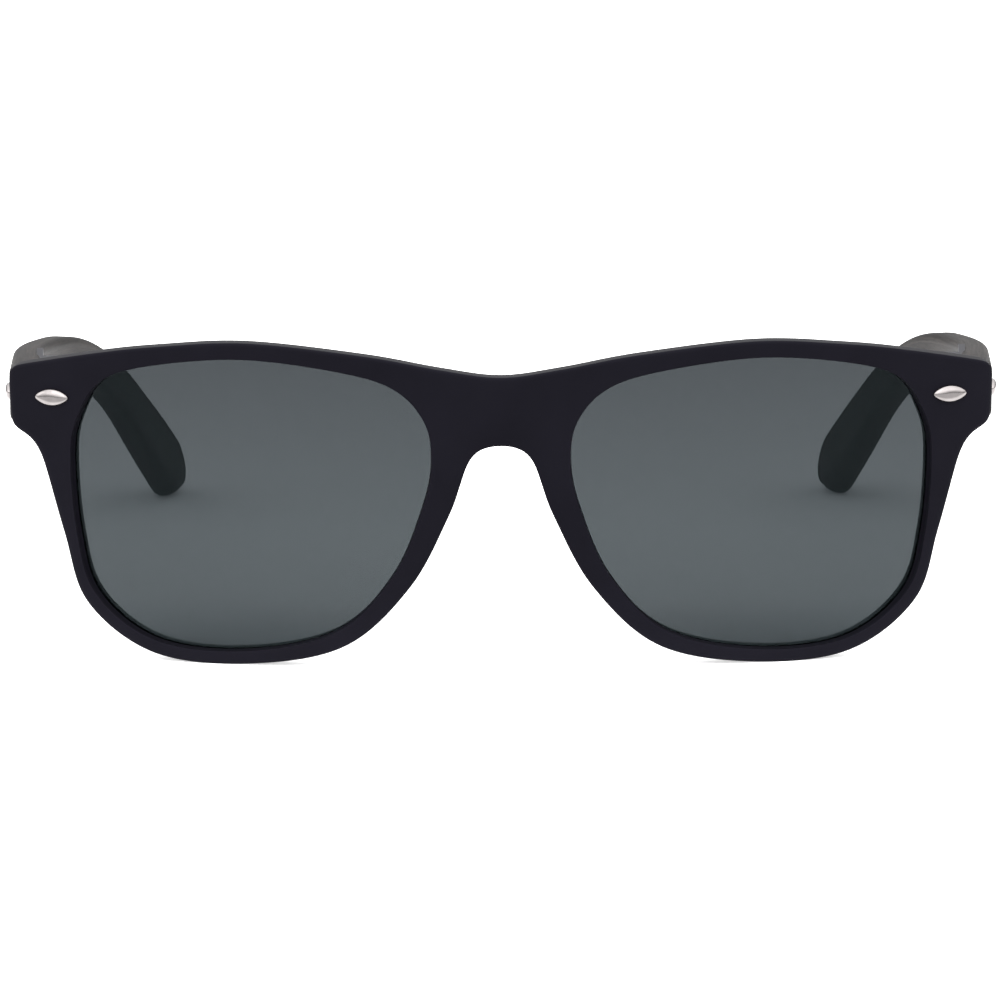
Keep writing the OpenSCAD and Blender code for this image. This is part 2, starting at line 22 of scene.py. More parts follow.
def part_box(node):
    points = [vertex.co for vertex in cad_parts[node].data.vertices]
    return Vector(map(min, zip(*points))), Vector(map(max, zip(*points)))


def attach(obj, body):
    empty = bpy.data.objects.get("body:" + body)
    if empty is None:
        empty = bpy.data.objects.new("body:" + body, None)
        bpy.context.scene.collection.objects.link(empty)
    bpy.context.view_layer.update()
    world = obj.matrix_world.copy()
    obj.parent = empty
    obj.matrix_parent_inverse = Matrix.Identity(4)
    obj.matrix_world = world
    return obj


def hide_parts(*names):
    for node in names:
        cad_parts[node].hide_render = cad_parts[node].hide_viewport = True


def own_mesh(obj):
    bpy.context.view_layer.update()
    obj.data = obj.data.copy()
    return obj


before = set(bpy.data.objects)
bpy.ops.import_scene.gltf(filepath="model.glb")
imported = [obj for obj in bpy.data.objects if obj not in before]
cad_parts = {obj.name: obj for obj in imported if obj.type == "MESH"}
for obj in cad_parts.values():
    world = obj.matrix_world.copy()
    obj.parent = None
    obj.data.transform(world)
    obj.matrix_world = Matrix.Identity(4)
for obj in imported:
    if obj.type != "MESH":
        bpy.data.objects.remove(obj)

MM = 0.001
SHARP_ANGLE = math.radians(38)
RIGHT_ANGLE = math.pi / 2
FULL_TURN = 2 * math.pi
GRID_ROW = 0.87
GRID_CLEAR = 0.6
SAME_POINT = 1e-9

Points = np.ndarray
Ring = list[int]
Span = tuple[float, float]
Form = tuple[Span, ...]
Colour = tuple[float, float, float]
Depth = Callable[[Points], Points]
Object = bpy.types.Object
Node = bpy.types.Node
Socket = bpy.types.NodeSocket
log = logging.getLogger("sunglasses")


class Side(Enum):
    """Side of the part, as seen from the front."""

    LEFT = -1
    RIGHT = 1

    @property
    def label(self) -> str:
        """Side's name as the nodes and bodies have it."""
        return self.name.lower()


class Slot(Enum):
    """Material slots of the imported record."""

    PLASTIC = "black_plastic"
    LENS = "smoke_lens"
    WOOD = "dark_wood"
    POLISHED = "polished_metal"
    STEEL = "hinge_steel"


def smooth_step(value: Points | float) -> Points:
    """Soft step from 0 at 0 to 1 at 1."""
    share = np.clip(value, 0.0, 1.0)
    return share * share * (3.0 - 2.0 * share)


def curve_through(points: Points, steps: int, closed: bool) -> Points:
    """Smooth curve through control points.

    Args:
        points: Control points, one to a row. The end points of an open curve only lead it.
        steps: Points on each stretch between two control points.
        closed: Whether the curve comes back to its start.

    Returns:
        Points of the curve, one to a row.
    """
    count = len(points)
    starts = range(count) if closed else range(1, count - 2)
    share = np.arange(steps)[:, None] / steps
    stretches = []
    for i in starts:
        a, b, c, d = (points[(i + k) % count] for k in (-1, 0, 1, 2))
        curve = 2 * b + (c - a) * share + (2 * a - 5 * b + 4 * c - d) * share**2
        stretches.append((curve + (3 * b - a - 3 * c + d) * share**3) / 2)
    if not closed:
        stretches.append(points[-2:-1])
    return np.vstack(stretches)


def arc(centre: Span, radius: float, turn: Span, steps: int) -> Points:
    """Points of a round corner.

    Args:
        centre: Middle of the corner's circle.
        radius: Radius of the corner.
        turn: Angles of the first point and the last, in degrees.
        steps: Number of steps from the first point to the last.

    Returns:
        Points of the corner, one to a row.
    """
    angle = np.radians(np.linspace(*turn, steps + 1))
    return np.array(centre) + radius * np.column_stack((np.cos(angle), np.sin(angle)))


def evenly_spaced(loop: Points, step: float) -> Points:
    """Closed loop with points at even distances along it.

    Args:
        loop: Points of the loop, one to a row.
        step: Distance between two points, about.

    Returns:
        Points of the same loop at even distances.
    """
    shut = np.vstack((loop, loop[:1]))
    along = np.concatenate(([0.0], np.cumsum(np.linalg.norm(np.diff(shut, axis=0), axis=1))))
    places = np.linspace(0.0, along[-1], int(along[-1] / step) + 1)[:-1]
    return np.column_stack([np.interp(places, along, shut[:, axis]) for axis in (0, 1)])


def softened(loop: Points, passes: int) -> Points:
    """Closed loop with its small kinks averaged out.

    Args:
        loop: Points of the loop, one to a row.
        passes: Number of times that each point is averaged with its neighbours.

    Returns:
        Points of the softer loop.
    """
    for _ in range(passes):
        loop = (np.roll(loop, 1, axis=0) + 2 * loop + np.roll(loop, -1, axis=0)) / 4
    return loop


def outward(loop: Points) -> Points:
    """Directions that point out of a closed loop.

    Args:
        loop: Points of the loop, anticlockwise.

    Returns:
        Unit direction at each point.
    """
    along = np.roll(loop, -1, axis=0) - np.roll(loop, 1, axis=0)
    out = np.column_stack((along[:, 1], -along[:, 0]))
    return out / np.linalg.norm(out, axis=1)[:, None]


def inside(points: Points, loop: Points) -> Points:
    """Finds which points lie inside a closed loop.

    Args:
        points: Points to test, one to a row.
        loop: Points of the loop, one to a row.

    Returns:
        Whether each point lies inside.
    """
    ahead = np.roll(loop, -1, axis=0)
    x, z = points[:, :1], points[:, 1:]
    crosses = (loop[:, 1] > z) != (ahead[:, 1] > z)
    rise = np.where(ahead[:, 1] == loop[:, 1], 1.0, ahead[:, 1] - loop[:, 1])
    meets = loop[:, 0] + (z - loop[:, 1]) * (ahead[:, 0] - loop[:, 0]) / rise
    return np.sum(crosses & (x < meets), axis=1) % 2 == 1


def covered(points: Points, loops: list[Points]) -> Points:
    """Finds which points lie in an outer loop and in none of its holes.

    Args:
        points: Points to test, one to a row.
        loops: Outer loop, then its holes.

    Returns:
        Whether each point is covered.
    """
    held = inside(points, loops[0])
    for hole in loops[1:]:
        held &= ~inside(points, hole)
    return held


def filled(loops: list[Points], spacing: float) -> tuple[Points, list[tuple[int, ...]]]:
    """Fine triangles between an outer loop and the holes in it.

    Args:
        loops: Outer loop, then its holes, each a closed row of points.
        spacing: Distance between the points added inside.

    Returns:
        Points of the loops in their order and then those added, and the triangles on them.
    """
    edge_points = np.vstack(loops)
    low, high = edge_points.min(axis=0), edge_points.max(axis=0)
    across, up = np.meshgrid(
        np.arange(low[0], high[0], spacing), np.arange(low[1], high[1], spacing * GRID_ROW)
    )
    across = across + spacing / 2 * (np.arange(len(across)) % 2)[:, None]
    grid = np.column_stack((across.ravel(), up.ravel()))
    tree = KDTree(len(edge_points))
    for i, point in enumerate(edge_points):
        tree.insert((*point, 0.0), i)
    tree.balance()
    clear = GRID_CLEAR * spacing
    grid = grid[covered(grid, loops)]
    grid = np.array([p for p in grid if tree.find((*p, 0.0))[2] > clear]).reshape(-1, 2)
    points = np.vstack((edge_points, grid))
    edges = []
    first = 0
    for loop in loops:
        edges += [(first + i, first + (i + 1) % len(loop)) for i in range(len(loop))]
        first += len(loop)
    _, _, faces, origins, _, _ = delaunay_2d_cdt([Vector(p) for p in points], edges, [], 0, SAME_POINT)
    triangles = np.array([[origins[i][0] for i in face] for face in faces])
    kept = covered(points[triangles].mean(axis=1), loops)
    return points, [tuple(t) for t in triangles[kept].tolist()]


def quarter_turns(steps: int) -> Points:
    """Angles from 0 to a right angle, in radians, for the steps of a rounded edge."""
    return np.linspace(0.0, RIGHT_ANGLE, steps + 1)


def mirrored(points: Points, side: Side) -> Points:
    """Right-hand points on their own side, or mirrored to the left."""
    return points * (side.value, 1.0, 1.0)


def upright(flat: Points, depth: Points) -> Points:
    """Points of the outline's plane, each set back to its depth."""
    return np.column_stack((flat[:, 0], depth, flat[:, 1]))


def flattened(points: Points) -> Points:
    """Points as they lie in the outline's plane."""
    return points[:, [0, 2]]


def opaque(colour: Colour) -> tuple[float, float, float, float]:
    """Colour as a node's input takes it."""
    return (*colour, 1.0)


@dataclass(frozen=True)
class Grain:
    """Noise of a finish: grains to the metre, detail, and how each axis is scaled."""

    scale: float
    detail: float = 3.0
    stretch: Colour | None = None


@dataclass(frozen=True)
class Relief:
    """Bump of a finish: its strength, and its depth in metres."""

    strength: float
    depth: float


@dataclass
class NodeTree:
    """Shader nodes of one finish, added and joined in order."""

    tree: bpy.types.NodeTree

    def put(self, node: Node, **settings: object) -> None:
        """Sets properties and inputs of a node.

        Args:
            node: Node to set.
            settings: Properties of the node, or values of its inputs, whose names have underscores for
                spaces.
        """
        for name, value in settings.items():
            if hasattr(node, name):
                setattr(node, name, value)
            else:
                node.inputs[name.replace("_", " ")].default_value = value

    def add(self, kind: str, **settings: object) -> Node:
        """Adds a node.

        Args:
            kind: Type of the node.
            settings: Properties and inputs, as put takes them.

        Returns:
            Node that was added.
        """
        node = self.tree.nodes.new(kind)
        self.put(node, **settings)
        return node

    def join(self, source: Socket, target: Socket) -> None:
        """Joins an output to an input."""
        self.tree.links.new(source, target)

    def feed(self, node: Node, **sources: Socket) -> None:
        """Joins outputs to inputs of a node, by the inputs' names with spaces as underscores."""
        for name, source in sources.items():
            self.join(source, node.inputs[name.replace("_", " ")])

    def noise(self, vector: Socket, grain: Grain) -> Socket:
        """Adds noise.

        Args:
            vector: Place that the noise is taken at.
            grain: Size and detail of the noise.

        Returns:
            Value of the noise.
        """
        if grain.stretch is not None:
            mapping = self.add("ShaderNodeMapping", Scale=grain.stretch)
            self.feed(mapping, Vector=vector)
            vector = mapping.outputs["Vector"]
        node = self.add("ShaderNodeTexNoise", Scale=grain.scale, Detail=grain.detail)
        self.feed(node, Vector=vector)
        return node.outputs["Fac"]

    def ramp(self, value: Socket, stops: tuple[float, ...], *colours: Colour) -> Socket:
        """Adds a colour ramp.

        Args:
            value: Value that picks the colour.
            stops: Place of each colour on the ramp.
            colours: Colour at each of the places.

        Returns:
            Colour of the ramp.
        """
        node = self.add("ShaderNodeValToRGB")
        elements = node.color_ramp.elements
        while len(elements) < len(stops):
            elements.new(0.5)
        for element, place, colour in zip(elements, stops, colours, strict=True):
            element.position = place
            element.color = opaque(colour)
        self.feed(node, Fac=value)
        return node.outputs["Color"]

    def spread(self, value: Socket, reach: Span, ends: Span = (0.0, 1.0), smooth: bool = False) -> Socket:
        """Adds a map of a value between two ends.

        Args:
            value: Value to map.
            reach: What the two ends become.
            ends: Values at the two ends.
            smooth: Whether the map eases in and out.

        Returns:
            Mapped value.
        """
        node = self.add("ShaderNodeMapRange", interpolation_type="SMOOTHSTEP" if smooth else "LINEAR")
        self.put(node, From_Min=ends[0], From_Max=ends[1], To_Min=reach[0], To_Max=reach[1])
        self.feed(node, Value=value)
        return node.outputs["Result"]

    def part(self, vector: Socket, axis: str) -> Socket:
        """Takes one axis of a vector.

        Args:
            vector: Vector to take it from.
            axis: Name of the axis.

        Returns:
            Value on that axis.
        """
        node = self.add("ShaderNodeSeparateXYZ")
        self.feed(node, Vector=vector)
        return node.outputs[axis]

    def bump(self, height: Socket, relief: Relief) -> Socket:
        """Adds bump.

        Args:
            height: Height of the surface, from 0 to 1.
            relief: Strength and depth of the bump.

        Returns:
            Normal of the bumped surface.
        """
        node = self.add("ShaderNodeBump", Strength=relief.strength, Distance=relief.depth)
        self.feed(node, Height=height)
        return node.outputs["Normal"]

    def product(self, value: Socket, factor: Socket | float, extra: Socket | None = None) -> Socket:
        """Adds a product of two values, with a third added to it.

        Args:
            value: Value to multiply.
            factor: Value or number that multiplies it.
            extra: Value added to the product, if there is one.

        Returns:
            Value of the sum.
        """
        node = self.add("ShaderNodeMath", operation="MULTIPLY" if extra is None else "MULTIPLY_ADD")
        self.join(value, node.inputs[0])
        if isinstance(factor, Socket):
            self.join(factor, node.inputs[1])
        else:
            node.inputs[1].default_value = factor
        if extra is not None:
            self.join(extra, node.inputs[2])
        return node.outputs["Value"]

    def place(self) -> Socket:
        """Adds the surface's own place, in metres, and returns it."""
        return self.add("ShaderNodeTexCoord").outputs["Object"]


@dataclass(frozen=True)
class Finish:
    """Surface of one material: each kind fills in its own nodes. A finish of no slot is the studio's."""

    name: str
    slot: Slot | None = None

    def material(self) -> bpy.types.Material:
        """Gives the finish's material, made when it is first asked for.

        Returns:
            Material of the finish.
        """
        made = bpy.data.materials.get(self.name)
        if made is None:
            made = bpy.data.materials.new(self.name)
            made.use_nodes = True
            self.fill(NodeTree(made.node_tree), made.node_tree.nodes["Principled BSDF"])
        return made

    def fill(self, nodes: NodeTree, surface: Node) -> None:
        """Adds the nodes of this finish. Each kind has its own.

        Args:
            nodes: Nodes of the material.
            surface: Shader of the surface.
        """
        raise NotImplementedError

    def dress(self, piece: Object) -> None:
        """Gives a piece this finish.

        Args:
            piece: Object to dress.
        """
        piece.data.materials.clear()
        piece.data.materials.append(self.material())


@dataclass(frozen=True)
class SoftTouchPlastic(Finish):
    """Matte moulded plastic with a velvety fine grain."""

    dark: Colour = (0.0036, 0.0034, 0.0052)
    light: Colour = (0.0048, 0.0045, 0.0069)
    stops: Span = (0.3, 0.7)
    roughness: Span = (0.42, 0.49)
    specular: float = 0.07
    sheen: Colour = (0.80, 0.77, 1.0)
    cloud: Grain = Grain(95.0)
    grain: Grain = Grain(5200.0, 2.0)
    relief: Relief = Relief(0.22, 0.00002)

    def fill(self, nodes: NodeTree, surface: Node) -> None:
        """Adds cloudy colour, uneven roughness and a fine grain.

        Args:
            nodes: Nodes of the material.
            surface: Shader of the surface.
        """
        place = nodes.place()
        cloud = nodes.noise(place, self.cloud)
        nodes.feed(
            surface,
            Base_Color=nodes.ramp(cloud, self.stops, self.dark, self.light),
            Roughness=nodes.spread(cloud, self.roughness),
            Normal=nodes.bump(nodes.noise(place, self.grain), self.relief),
        )
        nodes.put(surface, Specular_IOR_Level=self.specular, Specular_Tint=opaque(self.sheen))


@dataclass(frozen=True)
class SmokeTint(Finish):
    """See-through tinted lens, a little darker towards its top, with a painted shadow of the rim on the tint
    just over its lower rim.
    """

    # edge is a painted shadow: the darker tint just over the lower rim stands in for the shade of the rim.
    edge: Colour = (0.0285, 0.0325, 0.0350)
    middle: Colour = (0.0425, 0.0486, 0.0519)
    top: Colour = (0.0303, 0.0336, 0.0363)
    rim_shadow_at: float = 0.0025
    middle_at: Span = (0.009, 0.020)
    top_at: float = 0.046
    sheen: Colour = (0.69, 0.92, 1.0)
    refraction: float = 1.23

    def fill(self, nodes: NodeTree, surface: Node) -> None:
        """Adds the tint that changes with height, with a painted shadow of the rim at its bottom, and a clear
        polish.

        Args:
            nodes: Nodes of the material.
            surface: Shader of the surface.
        """
        height = nodes.spread(nodes.part(nodes.place(), "Z"), (0.0, 1.0), (self.rim_shadow_at, self.top_at))
        low, high = ((at - self.rim_shadow_at) / (self.top_at - self.rim_shadow_at) for at in self.middle_at)
        # The first stop of the ramp is a painted shadow of the rim; the last is the darker top.
        tint = nodes.ramp(height, (0.0, low, high, 1.0), self.edge, self.middle, self.middle, self.top)
        nodes.feed(surface, Base_Color=tint)
        nodes.put(surface, Roughness=0.0, Transmission_Weight=1.0)
        nodes.put(surface, IOR=self.refraction, Specular_Tint=opaque(self.sheen))


@dataclass(frozen=True)
class StainedWood(Finish):
    """Dark stained wood with long grain lines and open pores, oiled to a satin sheen."""

    deep: Colour = (0.0048, 0.0040, 0.0038)
    middle: Colour = (0.0140, 0.0120, 0.0112)
    pale: Colour = (0.0350, 0.0300, 0.0275)
    stops: tuple[float, float, float] = (0.36, 0.52, 0.70)
    pore: Colour = (0.25, 0.24, 0.23)
    bare: Colour = (1.0, 1.0, 1.0)
    pore_stops: Span = (0.34, 0.46)
    pore_share: float = 0.8
    roughness: Span = (0.46, 0.60)
    specular: float = 0.10
    sheen: Colour = (0.93, 0.92, 1.0)
    bands: Grain = Grain(620.0, 4.0, (0.05, 1.0, 1.0))
    lines: Grain = Grain(2900.0, 3.0, (0.022, 1.0, 1.0))
    pores: Grain = Grain(5200.0, 2.0, (0.09, 1.0, 1.0))
    band_share: float = 0.5
    line_share: float = 0.55
    relief: Relief = Relief(0.35, 0.00007)

    def fill(self, nodes: NodeTree, surface: Node) -> None:
        """Adds bands, fine lines and pores that run along each temple.

        Args:
            nodes: Nodes of the material.
            surface: Shader of the surface.
        """
        along = nodes.add("ShaderNodeAttribute", attribute_name="grain").outputs["Vector"]
        bands, lines, pores = (nodes.noise(along, grain) for grain in (self.bands, self.lines, self.pores))
        figure = nodes.product(lines, self.line_share, nodes.product(bands, self.band_share))
        stain = nodes.add("ShaderNodeMix", data_type="RGBA", blend_type="MULTIPLY")
        stain.inputs["Factor"].default_value = self.pore_share
        nodes.feed(
            stain,
            A=nodes.ramp(figure, self.stops, self.deep, self.middle, self.pale),
            B=nodes.ramp(pores, self.pore_stops, self.pore, self.bare),
        )
        nodes.feed(
            surface,
            Base_Color=stain.outputs["Result"],
            Roughness=nodes.spread(bands, self.roughness),
            Normal=nodes.bump(figure, self.relief),
        )
        nodes.put(surface, Specular_IOR_Level=self.specular, Specular_Tint=opaque(self.sheen))


@dataclass(frozen=True)
class PolishedNickel(Finish):
    """Bright polished metal with a faint unevenness."""

    tone: Colour = (0.30, 0.278, 0.276)
    shade: Colour = (0.265, 0.246, 0.244)
    stops: Span = (0.35, 0.65)
    roughness: Span = (0.10, 0.17)
    cloud: Grain = Grain(900.0)

    def fill(self, nodes: NodeTree, surface: Node) -> None:
        """Adds a slightly cloudy metal, unevenly polished.

        Args:
            nodes: Nodes of the material.
            surface: Shader of the surface.
        """
        cloud = nodes.noise(nodes.place(), self.cloud)
        nodes.feed(
            surface,
            Base_Color=nodes.ramp(cloud, self.stops, self.shade, self.tone),
            Roughness=nodes.spread(cloud, self.roughness),
        )
        nodes.put(surface, Metallic=1.0)


@dataclass(frozen=True)
class SatinSteel(Finish):
    """Darkened satin steel, brushed along the temples."""

    tone: Colour = (0.13, 0.13, 0.135)
    shade: Colour = (0.085, 0.085, 0.09)
    edge: Colour = (0.55, 0.55, 0.57)
    stops: Span = (0.3, 0.7)
    roughness: Span = (0.34, 0.50)
    brushing: Grain = Grain(6500.0, 2.0, (1.0, 0.04, 1.0))
    relief: Relief = Relief(0.15, 0.00002)

    def fill(self, nodes: NodeTree, surface: Node) -> None:
        """Adds brushed streaks in colour, roughness and bump.

        Args:
            nodes: Nodes of the material.
            surface: Shader of the surface.
        """
        streaks = nodes.noise(nodes.place(), self.brushing)
        nodes.feed(
            surface,
            Base_Color=nodes.ramp(streaks, self.stops, self.shade, self.tone),
            Roughness=nodes.spread(streaks, self.roughness),
            Normal=nodes.bump(streaks, self.relief),
        )
        nodes.put(surface, Metallic=1.0, Specular_Tint=opaque(self.edge))


@dataclass(frozen=True)
class PaleFloor(Finish):
    """White studio floor with the faintest mottling, dimmer in front of the part."""

    tone: Colour = (0.86, 0.86, 0.86)
    shade: Colour = (0.84, 0.84, 0.84)
    stops: Span = (0.3, 0.7)
    cloud: Grain = Grain(6.0)
    roughness: float = 0.9
    glow: float = 0.55
    glow_tone: Colour = (1.0, 1.0, 1.0)
    front_share: float = 0.5
    dims_over: Span = (-0.078, -0.098)

    def fill(self, nodes: NodeTree, surface: Node) -> None:
        """Adds the mottling and the glow of a floor lit from below, and takes the gloss away.

        Args:
            nodes: Nodes of the material.
            surface: Shader of the surface.
        """
        place = nodes.place()
        share = nodes.spread(nodes.part(place, "Y"), (1.0, self.front_share), self.dims_over)
        colour = nodes.add("ShaderNodeVectorMath", operation="SCALE")
        cloud = nodes.noise(place, self.cloud)
        nodes.join(nodes.ramp(cloud, self.stops, self.shade, self.tone), colour.inputs[0])
        nodes.feed(colour, Scale=share)
        nodes.feed(
            surface,
            Base_Color=colour.outputs["Vector"],
            Emission_Strength=nodes.spread(share, (0.0, self.glow)),
        )
        nodes.put(surface, Roughness=self.roughness, Specular_IOR_Level=0.0)
        nodes.put(surface, Emission_Color=opaque(self.glow_tone))


BLACK_PLASTIC = SoftTouchPlastic("soft_touch_plastic", Slot.PLASTIC)
SMOKE_LENS = SmokeTint("smoke_tint", Slot.LENS)
DARK_WOOD = StainedWood("stained_wood", Slot.WOOD)
NICKEL = PolishedNickel("polished_nickel", Slot.POLISHED)
HINGE_STEEL = SatinSteel("satin_steel", Slot.STEEL)
FLOOR_FINISH = PaleFloor("pale_floor")


@dataclass
class Draft:
    """Mesh of one piece, gathered in millimetres and made an object in metres."""

    name: str
    vertices: list[tuple[float, float, float]] = field(default_factory=list)
    faces: list[tuple[int, ...]] = field(default_factory=list)

    def ring(self, points: Points) -> Ring:
        """Adds a row of points.

        Args:
            points: Points to add, one to a row.

        Returns:
            Numbers of the points.
        """
        first = len(self.vertices)
        self.vertices.extend(tuple(p) for p in points.tolist())
        return list(range(first, len(self.vertices)))

    def strip(self, near: Ring, far: Ring) -> None:
        """Adds the faces between two closed rings of equal length.

        Args:
            near: Numbers of the one ring's points.
            far: Numbers of the other ring's points.
        """
        for i in range(len(near)):
            j = (i + 1) % len(near)
            self.faces.append((near[i], near[j], far[j], far[i]))

    def skin(self, rows: list[Points]) -> list[Ring]:
        """Adds rings of points with faces between each and the next.

        Args:
            rows: Points of each ring.

        Returns:
            Numbers of the points of each ring.
        """
        rings = [self.ring(row) for row in rows]
        for near, far in zip(rings, rings[1:]):
            self.strip(near, far)
        return rings

    def fan(self, ring: Ring) -> None:
        """Closes a ring with faces that meet at its middle.

        Args:
            ring: Numbers of the ring's points.
        """
        middle = self.ring(np.mean([self.vertices[i] for i in ring], axis=0)[None, :])[0]
        for i, number in enumerate(ring):
            self.faces.append((number, ring[(i + 1) % len(ring)], middle))

    def patch(self, rings: list[Ring], points: Points, triangles: list[tuple[int, ...]]) -> None:
        """Adds the triangles of a filled face whose edges are rings that are there already.

        Args:
            rings: Rings on the edges of the face, in the order of its loops.
            points: Points added inside the face.
            triangles: Triangles on the rings' points and then the added ones.
        """
        numbers = [number for ring in rings for number in ring] + self.ring(points)
        self.faces.extend(tuple(numbers[i] for i in triangle) for triangle in triangles)

    def piece(self, place: Matrix, marks: dict[str, Points] | None = None) -> Object:
        """Makes the object, with its outside out and its smooth faces smooth.

        Args:
            place: Place of the draft's own frame in the row frame, in metres.
            marks: Vectors to store on the mesh's points, by name.

        Returns:
            Object of the piece, linked to the scene.
        """
        mesh = bpy.data.meshes.new(self.name)
        mesh.from_pydata(self.vertices, [], self.faces)
        for name, vectors in (marks or {}).items():
            mark = mesh.attributes.new(name, "FLOAT_VECTOR", "POINT")
            mark.data.foreach_set("vector", vectors.astype(np.float32).ravel())
        mesh.transform(place @ Matrix.Scale(MM, 4))
        work = bmesh.new()
        work.from_mesh(mesh)
        bmesh.ops.recalc_face_normals(work, faces=work.faces)
        work.to_mesh(mesh)
        work.free()
        mesh.shade_smooth()
        mesh.set_sharp_from_angle(angle=SHARP_ANGLE)
        made = bpy.data.objects.new(self.name, mesh)
        bpy.context.scene.collection.objects.link(made)
        return made

    def fitted(
        self, place: Matrix, finish: Finish, node: str, body: str, marks: dict[str, Points] | None = None
    ) -> Object:
        """Makes the object, dresses it and puts it on its body in place of a solid.

        Args:
            place: Place of the draft's own frame in the row frame, in metres.
            finish: Finish of the piece.
            node: Node whose solid the piece replaces.
            body: Body that the piece rides on.
            marks: Vectors to store on the mesh's points, by name.

        Returns:
            Object of the piece.
        """
        piece = self.piece(place, marks)
        finish.dress(piece)
        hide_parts(node)
        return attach(piece, body)


@dataclass(frozen=True)
class Sizes:
    """Sizes that the pieces share, in millimetres, with the places worked out from them."""

    lens_w: float = 53.6
    lens_h: float = 43.8
    lens_t: float = 1.8
    lens_set: float = 1.3
    lens_gap: float = 0.05
    groove_d: float = 0.6
    bridge_gap: float = 21.0
    front_t: float = 4.1
    wrap_r: float = 220.0
    rim_top: float = 2.2
    rim_bottom: float = 2.1
    end_w: float = 9.6
    end_h: float = 9.6
    end_drop: float = 4.6
    end_add: float = 0.3
    hinge_in: float = 5.6
    hinge_back: float = 2.1
    hinge_lift: float = 0.3
    leaf_h: float = 5.6
    block_over: float = 0.7

    @property
    def top_z(self) -> float:
        """Height of the front's highest point."""
        return self.rim_bottom + self.lens_h + self.rim_top

    @property
    def lens_z(self) -> float:
        """Height of the lenses' middles."""
        return self.rim_bottom + self.lens_h / 2

    @property
    def lens_angle(self) -> float:
        """Turn of each lens round the wrap, in radians."""
        return math.asin(self.bridge_gap / 2 / self.wrap_r) + math.asin(self.lens_w / 2 / self.wrap_r)

    @property
    def lens_x(self) -> float:
        """Distance of each lens's middle from the bridge."""
        return self.wrap_r * math.sin(self.lens_angle)

    @property
    def lens_front(self) -> float:
        """Radius of the lenses' front faces."""
        return self.wrap_r - self.lens_set

    @property
    def back_r(self) -> float:
        """Radius of the front's back face."""
        return self.wrap_r - self.front_t

    @property
    def end_x(self) -> float:
        """Distance of an end piece's outer edge from the middle."""
        return float(self.wrapped_x(self.lens_w / 2)) + self.end_w

    @property
    def end_top(self) -> float:
        """Height of an end piece's top."""
        return self.top_z - self.end_drop

    @property
    def end_low(self) -> float:
        """Height of an end piece's underside."""
        return self.end_top - self.end_h

    @property
    def end_back(self) -> float:
        """Depth of an end piece's back face."""
        return float(self.wrap_y(self.back_r, self.end_x)) + self.end_add

    @property
    def hinge(self) -> Vector:
        """Middle of the right-hand hinge's axis."""
        height = self.end_top - self.end_h / 2 + self.hinge_lift
        return Vector((self.end_x - self.hinge_in, self.end_back + self.hinge_back, height))

    @property
    def block_top(self) -> float:
        """Height of the plastic over a hinge leaf, behind the front."""
        return self.hinge.z + self.leaf_h / 2 + self.block_over

    def wrap_y(self, radius: float, x: Points | float) -> Points:
        """Depth of a wrapped face of a radius at a distance from the middle."""
        return self.wrap_r - np.sqrt(radius**2 - np.square(x))

    def wrapped_x(self, x: Points | float) -> Points:
        """Distance from the middle of a point on a lens's own face."""
        return self.wrap_r * np.sin(self.lens_angle + np.arcsin(np.asarray(x) / self.wrap_r))

    @property
    def place(self) -> Matrix:
        """Place of these sizes' own zero in the row frame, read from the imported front."""
        low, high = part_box("front_frame")
        return Matrix.Translation((0.0, low.y, high.z - self.top_z * MM))


SIZES = Sizes()


@dataclass(frozen=True)
class LensShape:
    """Outline that each lens and its opening share."""

    step: float = 0.5
    curve_steps: int = 24
    passes: int = 4
    form: Form = (
        (1.00, 0.28), (0.96, 0.55), (0.82, 0.82), (0.54, 0.94),
        (0.02, 1.00), (-0.54, 0.92), (-0.82, 0.80), (-0.97, 0.57),
        (-1.00, 0.30), (-0.95, 0.00), (-0.79, -0.46), (-0.48, -0.85),
        (0.02, -1.00), (0.53, -0.955), (0.865, -0.66), (0.97, -0.24),
    )

    @cached_property
    def control(self) -> Points:
        """Points of the form at the lens's size."""
        return np.array(self.form) * (SIZES.lens_w / 2, SIZES.lens_h / 2)

    @cached_property
    def loop(self) -> Points:
        """Even points of the outline on the lens's own face."""
        curve = curve_through(self.control, self.curve_steps, True)
        return softened(evenly_spaced(curve, self.step), self.passes)

    @cached_property
    def out(self) -> Points:
        """Outward directions at the outline's points."""
        return outward(self.loop)

    def wrapped(self, flat: Points, radius: float) -> Points:
        """Lays points of the right-hand lens's own face on the wrap.

        Args:
            flat: Points on the lens's own face, one to a row.
            radius: Radius to lay them at.

        Returns:
            Points on the wrap.
        """
        turn = SIZES.lens_angle + np.arcsin(flat[:, 0] / radius)
        depth = SIZES.wrap_r - radius * np.cos(turn)
        return np.column_stack((radius * np.sin(turn), depth, SIZES.lens_z + flat[:, 1]))

    def ring(self, grow: Points | float, radius: float) -> Points:
        """Outline grown by a distance and laid on the wrap at a radius."""
        return self.wrapped(self.loop + self.out * np.reshape(grow, (-1, 1)), radius)

    def rim_point(self, number: int, width: float) -> Points:
        """Point on the front's outer edge, beside a point of the form.

        Args:
            number: Number of the form's point.
            width: Width of the rim there.

        Returns:
            Point in the outline's plane.
        """
        count = len(self.control)
        along = self.control[(number + 1) % count] - self.control[(number - 1) % count]
        out = np.array((along[1], -along[0])) / np.linalg.norm(along)
        flat = self.control[number] + width * out
        return np.array((float(SIZES.wrapped_x(flat[0])), SIZES.lens_z + flat[1]))


LENS_SHAPE = LensShape()


